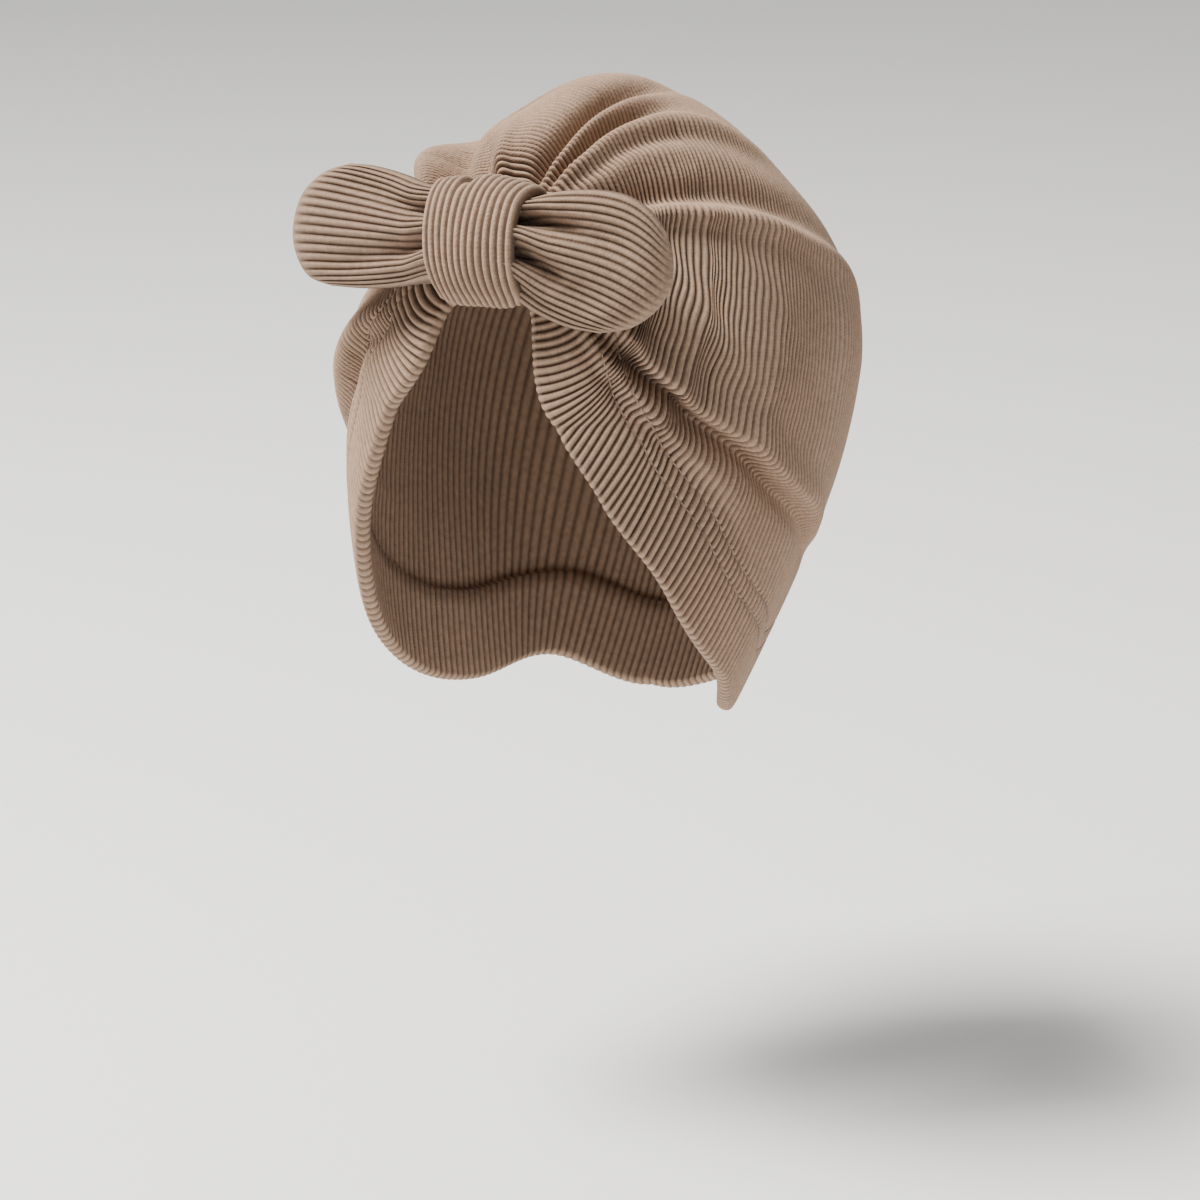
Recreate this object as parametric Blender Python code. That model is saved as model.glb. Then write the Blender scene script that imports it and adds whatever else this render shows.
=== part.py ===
"""A baby's turban hat of ribbed knit cloth, with a bow held by a knot at the front.

The hat is one stretchy cloth shaped like an egg that leans forward at the bottom.
Its rim runs from under the knot, down beside the face and round the nape, where
it is turned in and sewn. All its gathers start behind the knot and fan out over
the head. The bow is a flat pouch pinched in the middle by the knot, a closed
band of the same cloth.

The origin is on the head's axis at the level of the rim's lowest point, +Z up,
the face towards -Y and the wearer's left towards +X. Lengths are millimetres
here and metres in Blender.
"""
import math

import bmesh
import bpy
import numpy as np

MM = 0.001

# Driving sizes
HAT_WIDTH = 134.0
HAT_LENGTH = 156.0
WIDEST_LEVEL = 96.4
RISE = 75.5
DROP = 127.5
CLOTH = 1.8
HEM_CLOTH = 1.5
HEM_GAP = 0.5

# The egg leans forward below its widest level and back a little at the top
CENTRE = np.array([0.0, 4.0, WIDEST_LEVEL])
LEAN_LOW = 0.197
LEAN_TOP = 6.0

# Broad bulges of the egg: direction round from the back, direction up,
# spread (all degrees) and height
BULGES = [
    ("flat_upper_side", 52.0, 48.0, 27.0, -4.6),
    ("full_side", 60.0, 20.0, 26.0, 1.9),
    ("flat_lower_side", 75.0, -38.0, 22.0, -8.3),
    ("pinch_behind_knot", 180.0, 28.0, 15.0, -4.0),
    ("full_upper_back", 30.0, 62.0, 22.0, 2.1),
    ("full_back", 40.0, 0.0, 24.0, 0.9),
    ("flat_side", 82.0, -15.0, 20.0, -0.9),
]

# The rim's places on the egg. Each row: name, then for the left and for the
# right half: degrees away from the side's middle, and degrees turned about it
# from the back over the top to the front
HEM_ROWS = [
    ("behind_knot", 90.0, 153.0, 90.0, 153.0),
    ("beside_knot", 80.7, 156.5, 77.3, 155.9),
    ("temple", 74.2, 176.5, 70.8, 170.2),
    ("cheek", 60.6, 190.1, 57.3, 185.3),
    ("jaw", 46.2, 210.0, 45.1, 206.7),
    ("below_ear", 39.3, 247.4, 41.4, 245.0),
    ("behind_ear", 50.5, 283.3, 50.5, 283.3),
    ("neck", 63.2, 307.5, 63.2, 307.5),
    ("nape", 90.0, 311.0, 90.0, 311.0),
]
TOP_LINE_FRONT = 140.0
TOP_LINE_BACK = 18.0

# How a rib leaves the hem square to it and reaches the middle line
HEM_PULL = 0.42
TOP_PULL = 0.30
TOP_PULL_LOSS = 0.85
LOSS_START = 0.6
SEAM_BLEND = 0.55
CHART_STEPS = 90
FINE_STEPS = 400
NUDGE = 0.001

# Folds lie along the shares t of a rib: 0 at the left hem, 0.5 on the middle
# line, 1 at the right hem. Each row: name, t at the knot, at a quarter and at
# half of the hem's length, where it has died out, height, half width as a
# share of the rib, and how far its crest leans over towards a smaller t
FOLDS = [
    ("small_fold", 0.100, 0.097, 0.088, 0.50, 2.6, 0.013, 0.0),
    ("small_crease", 0.083, 0.079, 0.070, 0.40, -1.4, 0.009, 0.0),
    ("overhang", 0.150, 0.145, 0.144, 0.86, 5.0, 0.022, 3.0),
    ("overhang_crease", 0.123, 0.119, 0.127, 0.86, -3.2, 0.010, 0.0),
    ("side_ridge", 0.318, 0.313, 0.311, 0.82, 4.2, 0.016, 1.0),
    ("side_valley", 0.365, 0.347, 0.332, 0.80, -3.8, 0.018, 0.0),
    ("upper_ridge_low", 0.402, 0.395, 0.378, 0.55, 2.2, 0.012, 0.4),
    ("upper_ridge", 0.440, 0.432, 0.398, 0.68, 4.6, 0.016, 1.0),
    ("upper_valley", 0.453, 0.448, 0.446, 0.50, -3.0, 0.009, 0.0),
    ("top_ridge", 0.466, 0.465, 0.460, 0.50, 3.0, 0.009, 0.0),
    ("top_valley", 0.481, 0.483, 0.476, 0.60, -3.2, 0.009, 0.0),
    ("top_fold", 0.545, 0.527, 0.508, 0.70, 4.2, 0.042, 0.0),
    ("top_fold_edge", 0.664, 0.641, 0.602, 0.50, -4.4, 0.016, 0.0),
    ("brow_bump", 0.704, 0.672, 0.637, 0.55, 6.4, 0.021, 0.0),
    ("right_ridge", 0.750, 0.745, 0.735, 0.75, 3.0, 0.020, 0.0),
    ("right_valley", 0.800, 0.795, 0.780, 0.75, -2.4, 0.018, 0.0),
    ("rope_fold", 0.905, 0.875, 0.861, 0.66, 5.0, 0.022, -1.6),
    ("rope_crease", 0.940, 0.903, 0.888, 0.64, -2.6, 0.011, 0.0),
]
GATHER_START = 0.05
GATHER_END = 0.13
FADE_START = 0.45

# The hem is turned in as far as these shares of a rib, given evenly from the
# knot to the nape
HEM_SHARES = [0.110, 0.086, 0.072, 0.074, 0.095]

# Mesh rows
HEM_COLUMNS = 3
SIDE_COLUMNS = 32
FOLD_CROWDING = 2.6
CROWN_ROWS = 30
ROW_CROWDING = 1.25

# The knot: an upright oval ring about a left to right axis, tilted back
KNOT_CENTRE = np.array([-2.0, -66.5, WIDEST_LEVEL + 46.0])
KNOT_TILT = 28.0
KNOT_HALF_HEIGHT = 17.0
KNOT_HALF_DEPTH = 11.0
KNOT_HALF_WIDTH = 12.0
KNOT_BARREL = 2.4
KNOT_BARREL_POWER = 2.5
KNOT_INSIDE = (0.9, 0.4, -0.4, -0.9)
KNOT_WALL = 3.0
KNOT_RIBS = 11
KNOT_RIB_DEPTH = 0.5
KNOT_AROUND = 28

# The bow: from the knot's middle outwards, as share of an ear's length, half
# height and half thickness
BOW_ROWS = [
    (0.00, 13.6, 7.6),
    (0.14, 13.6, 7.6),
    (0.23, 13.6, 7.4),
    (0.34, 14.8, 6.2),
    (0.46, 16.8, 4.8),
    (0.60, 17.6, 4.0),
    (0.74, 17.0, 3.6),
    (0.85, 14.8, 3.2),
    (0.93, 11.6, 2.9),
    (0.98, 7.6, 2.5),
    (1.00, 4.2, 1.9),
]
EAR_LENGTH = {1: 50.5, -1: 56.0}
BOW_TILT = 13.0
BOW_SWEEP = 8.0
BOW_DROOP = {1: 5.0, -1: -0.5}
BOW_DROOP_REACH = 45.0
BOW_AROUND = 24
BOW_SECTIONS = 17
BOW_END_CROWDING = 0.8
BOW_PLEATS = 3
BOW_PLEAT_DEPTH = 2.2
BOW_PLEAT_START = 16.0
BOW_PLEAT_REACH = 38.0
BOW_FLARE = 6.0
BOW_SQUARENESS = 0.2

KNIT_COLOUR = (0.300, 0.206, 0.150, 1.0)
KNIT_ROUGHNESS = 0.95


def smooth_step(value, start, end):
    """0 before start, 1 after end, with an even turn between."""
    share = np.clip((np.asarray(value, float) - start) / (end - start), 0.0, 1.0)
    return share * share * (3.0 - 2.0 * share)


def through_rows(rows, share):
    """A smooth curve through evenly spaced rows, read at shares 0 to 1."""
    rows = np.asarray(rows, float)
    last = len(rows) - 1
    place = np.clip(np.asarray(share, float) * last, 0, last)
    index = np.minimum(place.astype(int), last - 1)
    part = place - index
    if rows.ndim > 1:
        part = part[..., None]
    ends = np.concatenate([[2 * rows[0] - rows[1]], rows, [2 * rows[-1] - rows[-2]]])
    before, start, end, after = (ends[index + step] for step in range(4))
    cubic = -before + 3 * start - 3 * end + after
    square = 2 * before - 5 * start + 4 * end - after
    return 0.5 * (2 * start + (end - before) * part + square * part ** 2 + cubic * part ** 3)


def side_chart(away, turned):
    """Flat chart place of a point given in degrees from the left side."""
    angle = np.radians(turned)
    return np.stack([away * np.cos(angle), away * np.sin(angle)], -1)


def egg_point(chart):
    """The point of the smooth egg at a place on the chart."""
    away = np.radians(np.hypot(chart[..., 0], chart[..., 1]))
    turned = np.arctan2(chart[..., 1], chart[..., 0])
    ray = np.stack([np.cos(away), np.sin(away) * np.cos(turned), np.sin(away) * np.sin(turned)], -1)
    height = np.where(ray[..., 2] > 0, RISE, DROP) * ray[..., 2]
    lean = np.where(height < 0, LEAN_LOW * height, LEAN_TOP * (height / RISE) ** 2)
    half_width = HAT_WIDTH / 2 * ray[..., 0]
    half_length = HAT_LENGTH / 2 * ray[..., 1] + lean
    base = np.stack([half_width, half_length, height], -1)
    outward = base / np.linalg.norm(base, axis=-1, keepdims=True)
    bulge = np.zeros(base.shape[:-1])
    for _name, round_from_back, up, spread, rise in BULGES:
        around = math.radians(round_from_back)
        level = math.radians(up)
        middle = np.array([math.sin(around) * math.cos(level),
                           math.cos(around) * math.cos(level), math.sin(level)])
        off = np.degrees(np.arccos(np.clip(ray @ middle, -1, 1)))
        bulge += rise * np.exp(-(off / spread) ** 2)
    return CENTRE + base + outward * bulge[..., None]


def hem_chart(share, side):
    """The rim's line on the chart, on the left (1) or the right (-1) side."""
    first = 1 if side > 0 else 3
    places = through_rows([row[first:first + 2] for row in HEM_ROWS], share)
    return side_chart(places[..., 0], places[..., 1])


def top_chart(share):
    turned = TOP_LINE_FRONT + (TOP_LINE_BACK - TOP_LINE_FRONT) * np.asarray(share, float)
    return side_chart(np.full_like(turned, 90.0), turned)


def even_share(curve, share):
    """The curve's own shares that lie at even distances along the egg."""
    own = np.linspace(0, 1, FINE_STEPS)
    points = egg_point(curve(own))
    run = np.concatenate([[0], np.cumsum(np.linalg.norm(np.diff(points, axis=0), axis=1))])
    return np.interp(share, run / run[-1], own)


def rib_charts(share, side):
    """Chart curves of the ribs of one side, from the hem up to the middle line."""
    hem_share = even_share(lambda own: hem_chart(own, side), share)
    hem = hem_chart(hem_share, side)
    top = top_chart(even_share(top_chart, share))
    after = hem_chart(np.clip(hem_share + NUDGE, 0, 1), side)
    before = hem_chart(np.clip(hem_share - NUDGE, 0, 1), side)
    along = after - before
    along /= np.linalg.norm(along, axis=-1, keepdims=True)
    square_off = np.stack([-along[:, 1], along[:, 0]], -1)
    outward = top / np.linalg.norm(top, axis=-1, keepdims=True)
    reach = np.linalg.norm(top - hem, axis=-1, keepdims=True)
    top_pull = TOP_PULL * (1 - TOP_PULL_LOSS * smooth_step(share, LOSS_START, 1.0))[:, None]
    near_hem = (hem + square_off * reach * HEM_PULL)[:, None]
    near_top = (top - outward * reach * top_pull)[:, None]
    b = np.linspace(0, 1, CHART_STEPS)[None, :, None]
    start = hem[:, None]
    end = top[:, None]
    curves = ((1 - b) ** 3 * start + 3 * (1 - b) ** 2 * b * near_hem
              + 3 * (1 - b) * b ** 2 * near_top + b ** 3 * end)
    nape_turned = HEM_ROWS[-1][2] - 360.0
    seam_turned = nape_turned + (TOP_LINE_BACK - nape_turned) * b[0, :, 0]
    seam = side_chart(np.full(CHART_STEPS, 90.0), seam_turned)[None]
    beside_seam = seam + (start - seam[:, :1]) * (1 - b) + (end - seam[:, -1:]) * b
    blend = smooth_step(share, SEAM_BLEND, 1.0)[:, None, None]
    return (1 - blend) * curves + blend * beside_seam


def smooth_cloth(share, rib_share):
    """Points of the unfolded cloth, and the length of each rib over the head.

    share runs from the knot to the back seam; rib_share has one row of shares
    for each, from the left hem over the head to the right one.
    """
    points = np.zeros(rib_share.shape + (3,))
    lengths = np.zeros(len(share))
    for side in (1, -1):
        half = egg_point(rib_charts(share, side))
        steps = np.linalg.norm(np.diff(half, axis=1), axis=2)
        run = np.concatenate([np.zeros((len(share), 1)), np.cumsum(steps, axis=1)], axis=1)
        lengths += run[:, -1]
        half[..., 0] *= side
        for row in range(len(share)):
            here = (rib_share[row] <= 0.5) == (side > 0)
            from_hem = np.minimum(rib_share[row, here], 1 - rib_share[row, here]) * 2 * run[row, -1]
            for axis in range(3):
                points[row, here, axis] = np.interp(from_hem, run[row], half[row, :, axis])
    return points, lengths


def fold_relief(share, rib_share, lengths):
    """Height of the folds above the smooth cloth, and their lean along the rib.

    A fold narrows towards the knot, but less than the ribs shorten there.
    """
    height = np.zeros(rib_share.shape)
    lean = np.zeros(rib_share.shape)
    start = smooth_step(share, GATHER_START, GATHER_END)
    widening = np.sqrt(lengths.max() / lengths)
    for _name, knot, quarter, half, dies, rise, half_width, over in FOLDS:
        line = through_rows([knot, quarter, half], np.clip(share * 2, 0, 1))
        strength = start * (1 - smooth_step(share, FADE_START * dies, dies))
        off = (rib_share - line[:, None]) / (half_width * widening)[:, None]
        crest = np.exp(-off ** 2) * strength[:, None]
        height += rise * crest
        lean -= over * crest
    return height, lean


def cloth_directions(points):
    """Outward and along-the-rib directions of a sheet of points."""
    along_rib = np.gradient(points, axis=1)
    along_rib /= np.linalg.norm(along_rib, axis=-1, keepdims=True) + 1e-9
    across = np.gradient(points, axis=0)
    outward = np.cross(across, along_rib)
    outward /= np.linalg.norm(outward, axis=-1, keepdims=True) + 1e-9
    facing = np.sign(np.sum(outward * (points - CENTRE), axis=-1, keepdims=True))
    return outward * facing, along_rib


def crown_columns(share):
    """Shares of each rib where the mesh has its columns, alike on both sides.

    The columns crowd together where the folds lie.
    """
    hem = through_rows(HEM_SHARES, share)[:, None]
    in_hem = hem * np.linspace(0, 1, HEM_COLUMNS + 1)[None, :-1]
    even = np.linspace(0, 1, FINE_STEPS)
    crowding = np.ones_like(even)
    for _name, _knot, quarter, _half, _dies, _rise, half_width, _over in FOLDS:
        line = min(quarter, 1 - quarter) * 2
        crowding += FOLD_CROWDING * np.exp(-((even - line) / (3 * half_width)) ** 2)
    run = np.cumsum(crowding) - crowding[0]
    crowded = np.interp(np.linspace(0, 1, SIDE_COLUMNS), run / run[-1], even)
    above = hem + (0.5 - hem) * crowded[None]
    side = np.concatenate([in_hem, above], axis=1)
    return np.concatenate([side, 1 - side[:, -2::-1]], axis=1)


def folded_cloth():
    """The folded cloth as a sheet of points with its outward directions."""
    share = np.linspace(0, 1, CROWN_ROWS) ** ROW_CROWDING
    columns = crown_columns(share)
    points, lengths = smooth_cloth(share, columns)
    outward, along_rib = cloth_directions(points)
    on_middle = [0, -1]
    outward[on_middle, :, 0] = 0.0
    outward /= np.linalg.norm(outward, axis=-1, keepdims=True)
    height, lean = fold_relief(share, columns, lengths)
    lean[on_middle] = 0.0
    return points + outward * height[..., None] + along_rib * lean[..., None], outward


def new_object(name, mesh_builder, material):
    """A named object in the scene from a finished bmesh."""
    mesh = bpy.data.meshes.new(name)
    bmesh.ops.recalc_face_normals(mesh_builder, faces=mesh_builder.faces)
    mesh_builder.to_mesh(mesh)
    mesh_builder.free()
    mesh.shade_smooth()
    mesh.set_sharp_from_angle(angle=math.radians(60))
    mesh.materials.append(material)
    piece = bpy.data.objects.new(name, mesh)
    bpy.context.scene.collection.objects.link(piece)
    return piece


def closed_wall(outer, inner, joined_rows):
    """A bmesh wall between two sheets of points, closed round its free edges.

    joined_rows are the rows folded on the middle line, where the left half's
    points are also the right half's.
    """
    builder = bmesh.new()
    rows, columns = outer.shape[:2]
    skins = []
    for sheet in (outer, inner):
        skin = [[None] * columns for _row in range(rows)]
        for row in range(rows):
            for column in range(columns):
                mirror = columns - 1 - column
                if row in joined_rows and column > mirror:
                    skin[row][column] = skin[row][mirror]
                else:
                    skin[row][column] = builder.verts.new(sheet[row, column] * MM)
        skins.append(skin)
    for skin in skins:
        for row in range(rows - 1):
            for column in range(columns - 1):
                add_quad(builder, skin[row][column], skin[row + 1][column],
                         skin[row + 1][column + 1], skin[row][column + 1])
    for column in (0, columns - 1):
        for row in range(rows - 1):
            add_quad(builder, skins[0][row][column], skins[0][row + 1][column],
                     skins[1][row + 1][column], skins[1][row][column])
    return builder


def add_quad(builder, first, second, third, fourth):
    """Two triangles split from the first to the third corner."""
    for corners in ((first, second, third), (first, third, fourth)):
        if len(set(corners)) == 3:
            builder.faces.new(corners)


def make_crown(material):
    """The whole cloth over the head, from rim to rim and sewn up the back."""
    outer, outward = folded_cloth()
    inner = outer - outward * CLOTH
    builder = closed_wall(outer, inner, (0, CROWN_ROWS - 1))
    return new_object("crown", builder, material)


def make_turned_hem(material):
    """The rim's turned-in strip, a second layer inside the cloth."""
    sheet, outward = folded_cloth()
    left = list(range(HEM_COLUMNS + 1))
    builder = bmesh.new()
    sides = []
    for columns in (left, [sheet.shape[1] - 1 - column for column in left]):
        strip = sheet[:, columns]
        way = outward[:, columns]
        sides.append((strip - way * (CLOTH + HEM_GAP), strip - way * (CLOTH + HEM_GAP + HEM_CLOTH)))
    path_outer = np.concatenate([sides[0][0][1:], sides[1][0][-2:0:-1]])
    path_inner = np.concatenate([sides[0][1][1:], sides[1][1][-2:0:-1]])
    rings = []
    for top, bottom in zip(path_outer, path_inner):
        ring = [builder.verts.new(point * MM) for point in top]
        ring += [builder.verts.new(point * MM) for point in bottom[::-1]]
        rings.append(ring)
    bridge(builder, rings)
    builder.faces.new(rings[0])
    builder.faces.new(rings[-1])
    return new_object("turned_hem", builder, material)


def bridge(builder, rings, closed=False):
    """Faces between neighbouring rings of vertices."""
    pairs = list(zip(rings, rings[1:]))
    if closed:
        pairs.append((rings[-1], rings[0]))
    for first, second in pairs:
        count = len(first)
        for place in range(count):
            after = (place + 1) % count
            add_quad(builder, first[place], first[after], second[after], second[place])


def tilted(offset, centre, tilt_degrees):
    """Turn an (x, forward, up) offset back by the tilt and set it at a centre."""
    tilt = math.radians(tilt_degrees)
    forward = offset[1]
    up = offset[2]
    back = up * math.sin(tilt) - forward * math.cos(tilt)
    rise = up * math.cos(tilt) + forward * math.sin(tilt)
    return centre + np.array([offset[0], back, rise])


def knot_profile():
    """The band's section: ribbed and barrelled outside, plain inside."""
    section = []
    steps = 2 * KNOT_RIBS
    for step in range(steps + 1):
        across = -1 + 2 * step / steps
        rib = KNOT_RIB_DEPTH if step % 2 else 0.0
        edge = KNOT_BARREL * abs(across) ** KNOT_BARREL_POWER
        section.append((across * KNOT_HALF_WIDTH, rib - edge))
    for across in KNOT_INSIDE:
        section.append((across * KNOT_HALF_WIDTH, -KNOT_WALL))
    return section


def make_knot(material):
    """The closed band round the bow's middle."""
    builder = bmesh.new()
    rings = []
    for step in range(KNOT_AROUND):
        angle = 2 * math.pi * step / KNOT_AROUND
        ring = []
        for across, out in knot_profile():
            forward = (KNOT_HALF_DEPTH + out) * math.cos(angle)
            up = (KNOT_HALF_HEIGHT + out) * math.sin(angle)
            point = tilted((across, forward, up), KNOT_CENTRE, KNOT_TILT)
            ring.append(builder.verts.new(point * MM))
        rings.append(ring)
    bridge(builder, rings, closed=True)
    return new_object("knot_band", builder, material)


def bow_centre(distance, side):
    """The middle of the bow's section at a distance out from the knot."""
    beyond = max(distance - KNOT_HALF_WIDTH, 0.0)
    sweep = math.tan(math.radians(BOW_SWEEP)) * beyond
    droop = BOW_DROOP[side] * (beyond / BOW_DROOP_REACH)
    return KNOT_CENTRE + np.array([side * distance, sweep, -droop])


def bow_ring(distance, side, half_height, half_thick):
    """One section of the bow, flat and pleated towards the knot."""
    points = []
    beyond = smooth_step(distance, KNOT_HALF_WIDTH, KNOT_HALF_WIDTH + BOW_FLARE)
    pleat = BOW_PLEAT_DEPTH * beyond * (1 - smooth_step(distance, BOW_PLEAT_START, BOW_PLEAT_REACH))
    tilt = KNOT_TILT + (BOW_TILT - KNOT_TILT) * beyond
    for step in range(BOW_AROUND):
        angle = 2 * math.pi * step / BOW_AROUND
        up = math.sin(angle)
        forward = math.copysign(abs(math.cos(angle)) ** (1 - BOW_SQUARENESS * beyond), math.cos(angle))
        relief = pleat * math.cos(BOW_PLEATS * math.pi * up) * forward
        offset = (0.0, half_thick * forward + relief, half_height * up)
        points.append(tilted(offset, bow_centre(distance, side), tilt))
    return points


def bow_section(share):
    """Half height and half thickness at a share of an ear's length."""
    rows = np.array(BOW_ROWS)
    return [float(np.interp(share, rows[:, 0], rows[:, column])) for column in (1, 2)]


def make_bow(material):
    """Both ears of the bow and the neck that the knot holds."""
    builder = bmesh.new()
    shares = np.linspace(0, 1, BOW_SECTIONS) ** BOW_END_CROWDING
    stations = [(-1, share) for share in shares[:0:-1]] + [(1, share) for share in shares]
    rings = []
    for side, share in stations:
        half_height, half_thick = bow_section(share)
        ring = bow_ring(share * EAR_LENGTH[side], side, half_height, half_thick)
        rings.append([builder.verts.new(point * MM) for point in ring])
    bridge(builder, rings)
    builder.faces.new(rings[0])
    builder.faces.new(rings[-1])
    return new_object("bow", builder, material)


def knit_material(name):
    """Soft brown ribbed knit."""
    material = bpy.data.materials.new(name)
    material.use_nodes = True
    shader = material.node_tree.nodes["Principled BSDF"]
    shader.inputs["Base Color"].default_value = KNIT_COLOUR
    shader.inputs["Roughness"].default_value = KNIT_ROUGHNESS
    shader.inputs["Metallic"].default_value = 0.0
    return material


def make_hat():
    """Every piece of the hat, each an object of its own."""
    for old in list(bpy.data.objects):
        bpy.data.objects.remove(old, do_unlink=True)
    return [
        make_crown(knit_material("crown_knit")),
        make_turned_hem(knit_material("hem_knit")),
        make_knot(knit_material("knot_knit")),
        make_bow(knit_material("bow_knit")),
    ]


make_hat()
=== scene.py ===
# %% [markdown]
# # A baby's turban hat in ribbed knit
#
# The hat is one stretchy cloth, gathered at the front and held there by a knot
# with a bow. This lesson dresses the plain solids of the hat in real knit: ribs,
# folds, a turned and stitched rim, a rolled knot and two soft ears. The solids
# are loaded first, because every piece made here sits where they sit.

# %% Load the solids
import math

import bpy
import numpy as np
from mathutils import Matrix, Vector
from mathutils.geometry import tessellate_polygon


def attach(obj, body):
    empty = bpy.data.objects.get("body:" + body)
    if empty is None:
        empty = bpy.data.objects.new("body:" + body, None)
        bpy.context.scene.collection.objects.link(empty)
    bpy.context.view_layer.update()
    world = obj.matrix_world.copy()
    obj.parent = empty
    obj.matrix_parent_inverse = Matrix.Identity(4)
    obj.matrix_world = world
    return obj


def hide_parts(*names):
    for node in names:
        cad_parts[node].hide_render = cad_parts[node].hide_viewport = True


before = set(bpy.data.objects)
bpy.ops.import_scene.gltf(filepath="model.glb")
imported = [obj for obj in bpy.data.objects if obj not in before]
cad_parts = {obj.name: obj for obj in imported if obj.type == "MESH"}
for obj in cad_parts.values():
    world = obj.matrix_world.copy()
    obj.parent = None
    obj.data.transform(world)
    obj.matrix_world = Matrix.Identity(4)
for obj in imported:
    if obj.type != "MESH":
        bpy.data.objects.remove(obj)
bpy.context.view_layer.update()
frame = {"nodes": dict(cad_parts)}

MM = 0.001
TINY = 1e-9
print("solids:", ", ".join(frame["nodes"]))

# %% [markdown]
# ## The camera comes first
#
# The picture is taken with a long lens from a little above and from the hat's
# left front. Such a camera stands well back, which keeps the hat's far
# side from shrinking. The lens follows from how wide a view the camera has at
# the hat, so that width is the value to name, and not the lens itself.

# %% Camera
CAMERA_ROUND = 25.0
CAMERA_UP = 14.0
CAMERA_DISTANCE = 1300.0
CAMERA_AIM = np.array([0.0, 0.0, 32.4])
VIEW_WIDTH = 330.0
SENSOR = 36.0
NEAR_CLIP = 50.0


def make_camera():
    """A camera with a long lens that looks at the hat from its left front."""
    around = math.radians(CAMERA_ROUND)
    up = math.radians(CAMERA_UP)
    back = np.array([math.sin(around) * math.cos(up), -math.cos(around) * math.cos(up), math.sin(up)])
    data = bpy.data.cameras.new("camera")
    data.sensor_width = SENSOR
    data.lens = SENSOR * CAMERA_DISTANCE / VIEW_WIDTH
    data.clip_start = NEAR_CLIP * MM
    camera = bpy.data.objects.new("camera", data)
    camera.location = (CAMERA_AIM + back * CAMERA_DISTANCE) * MM
    camera.rotation_euler = (math.pi / 2 - up, 0.0, around)
    bpy.context.scene.collection.objects.link(camera)
    bpy.context.scene.camera = camera
    return camera


camera = make_camera()
print("lens:", round(camera.data.lens, 1), "mm")

# %% [markdown]
# ## The form under the folds
#
# When worn, the cloth takes the form of an egg that leans forward at the bottom.
# It could be sculpted, but a formula is easier to change: a direction from the
# middle of the egg gives one point of the cloth, and a few broad bulges are
# added on top. The sizes are those of the solids, in millimetres.

# %% The egg
HAT_WIDTH = 134.0
HAT_LENGTH = 156.0
WIDEST_LEVEL = 96.4
RISE = 75.5
DROP = 127.5
CENTRE = np.array([0.0, 4.0, WIDEST_LEVEL])
LEAN_LOW = 0.197
LEAN_TOP = 6.0

# Name, direction round from the back, direction up, spread (degrees), height
BULGES = [
    ("flat_upper_side", 52.0, 48.0, 27.0, -4.6),
    ("full_side", 60.0, 20.0, 26.0, 1.9),
    ("flat_lower_side", 75.0, -38.0, 22.0, -8.3),
    ("pinch_behind_knot", 180.0, 28.0, 15.0, -4.0),
    ("full_upper_back", 30.0, 62.0, 22.0, 2.1),
    ("full_back", 40.0, 0.0, 24.0, 0.9),
    ("flat_side", 82.0, -15.0, 20.0, -0.9),
]


def smooth_step(value, start, end):
    """0 before start, 1 after end, with an even turn between."""
    share = np.clip((np.asarray(value, float) - start) / (end - start), 0.0, 1.0)
    return share * share * (3.0 - 2.0 * share)


def bell(value, middle, spread):
    """1 at the middle, falling away smoothly on both sides."""
    return np.exp(-((value - middle) / spread) ** 2)


def side_chart(away, turned):
    """Flat chart place of a point given in degrees from the left side."""
    angle = np.radians(turned)
    return np.stack([away * np.cos(angle), away * np.sin(angle)], -1)


def egg_point(chart):
    """The point of the smooth egg at a place on the chart."""
    away = np.radians(np.hypot(chart[..., 0], chart[..., 1]))
    turned = np.arctan2(chart[..., 1], chart[..., 0])
    ray = np.stack([np.cos(away), np.sin(away) * np.cos(turned), np.sin(away) * np.sin(turned)], -1)
    height = np.where(ray[..., 2] > 0, RISE, DROP) * ray[..., 2]
    lean = np.where(height < 0, LEAN_LOW * height, LEAN_TOP * (height / RISE) ** 2)
    half_width = HAT_WIDTH / 2 * ray[..., 0]
    half_length = HAT_LENGTH / 2 * ray[..., 1] + lean
    base = np.stack([half_width, half_length, height], -1)
    outward = base / np.linalg.norm(base, axis=-1, keepdims=True)
    bulge = np.zeros(base.shape[:-1])
    for _name, round_from_back, up, spread, rise in BULGES:
        around = math.radians(round_from_back)
        level = math.radians(up)
        middle = np.array([math.sin(around) * math.cos(level),
                           math.cos(around) * math.cos(level), math.sin(level)])
        off = np.degrees(np.arccos(np.clip(ray @ middle, -1, 1)))
        bulge += rise * bell(off, 0.0, spread)
    return CENTRE + base + outward * bulge[..., None]


print("top of the egg:", egg_point(side_chart(90.0, 90.0)).round(1))

# %% [markdown]
# ## How the ribs run
#
# Every rib starts square to the rim on one side, runs over the top and ends
# square to the rim on the other side. The ribs near the face are short loops
# behind the knot, and the last ones meet at a seam up the back. So each point
# of the cloth has two shares: which rib it is on, from the knot to the seam,
# and how far along that rib it lies, from the left rim to the right one.

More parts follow.
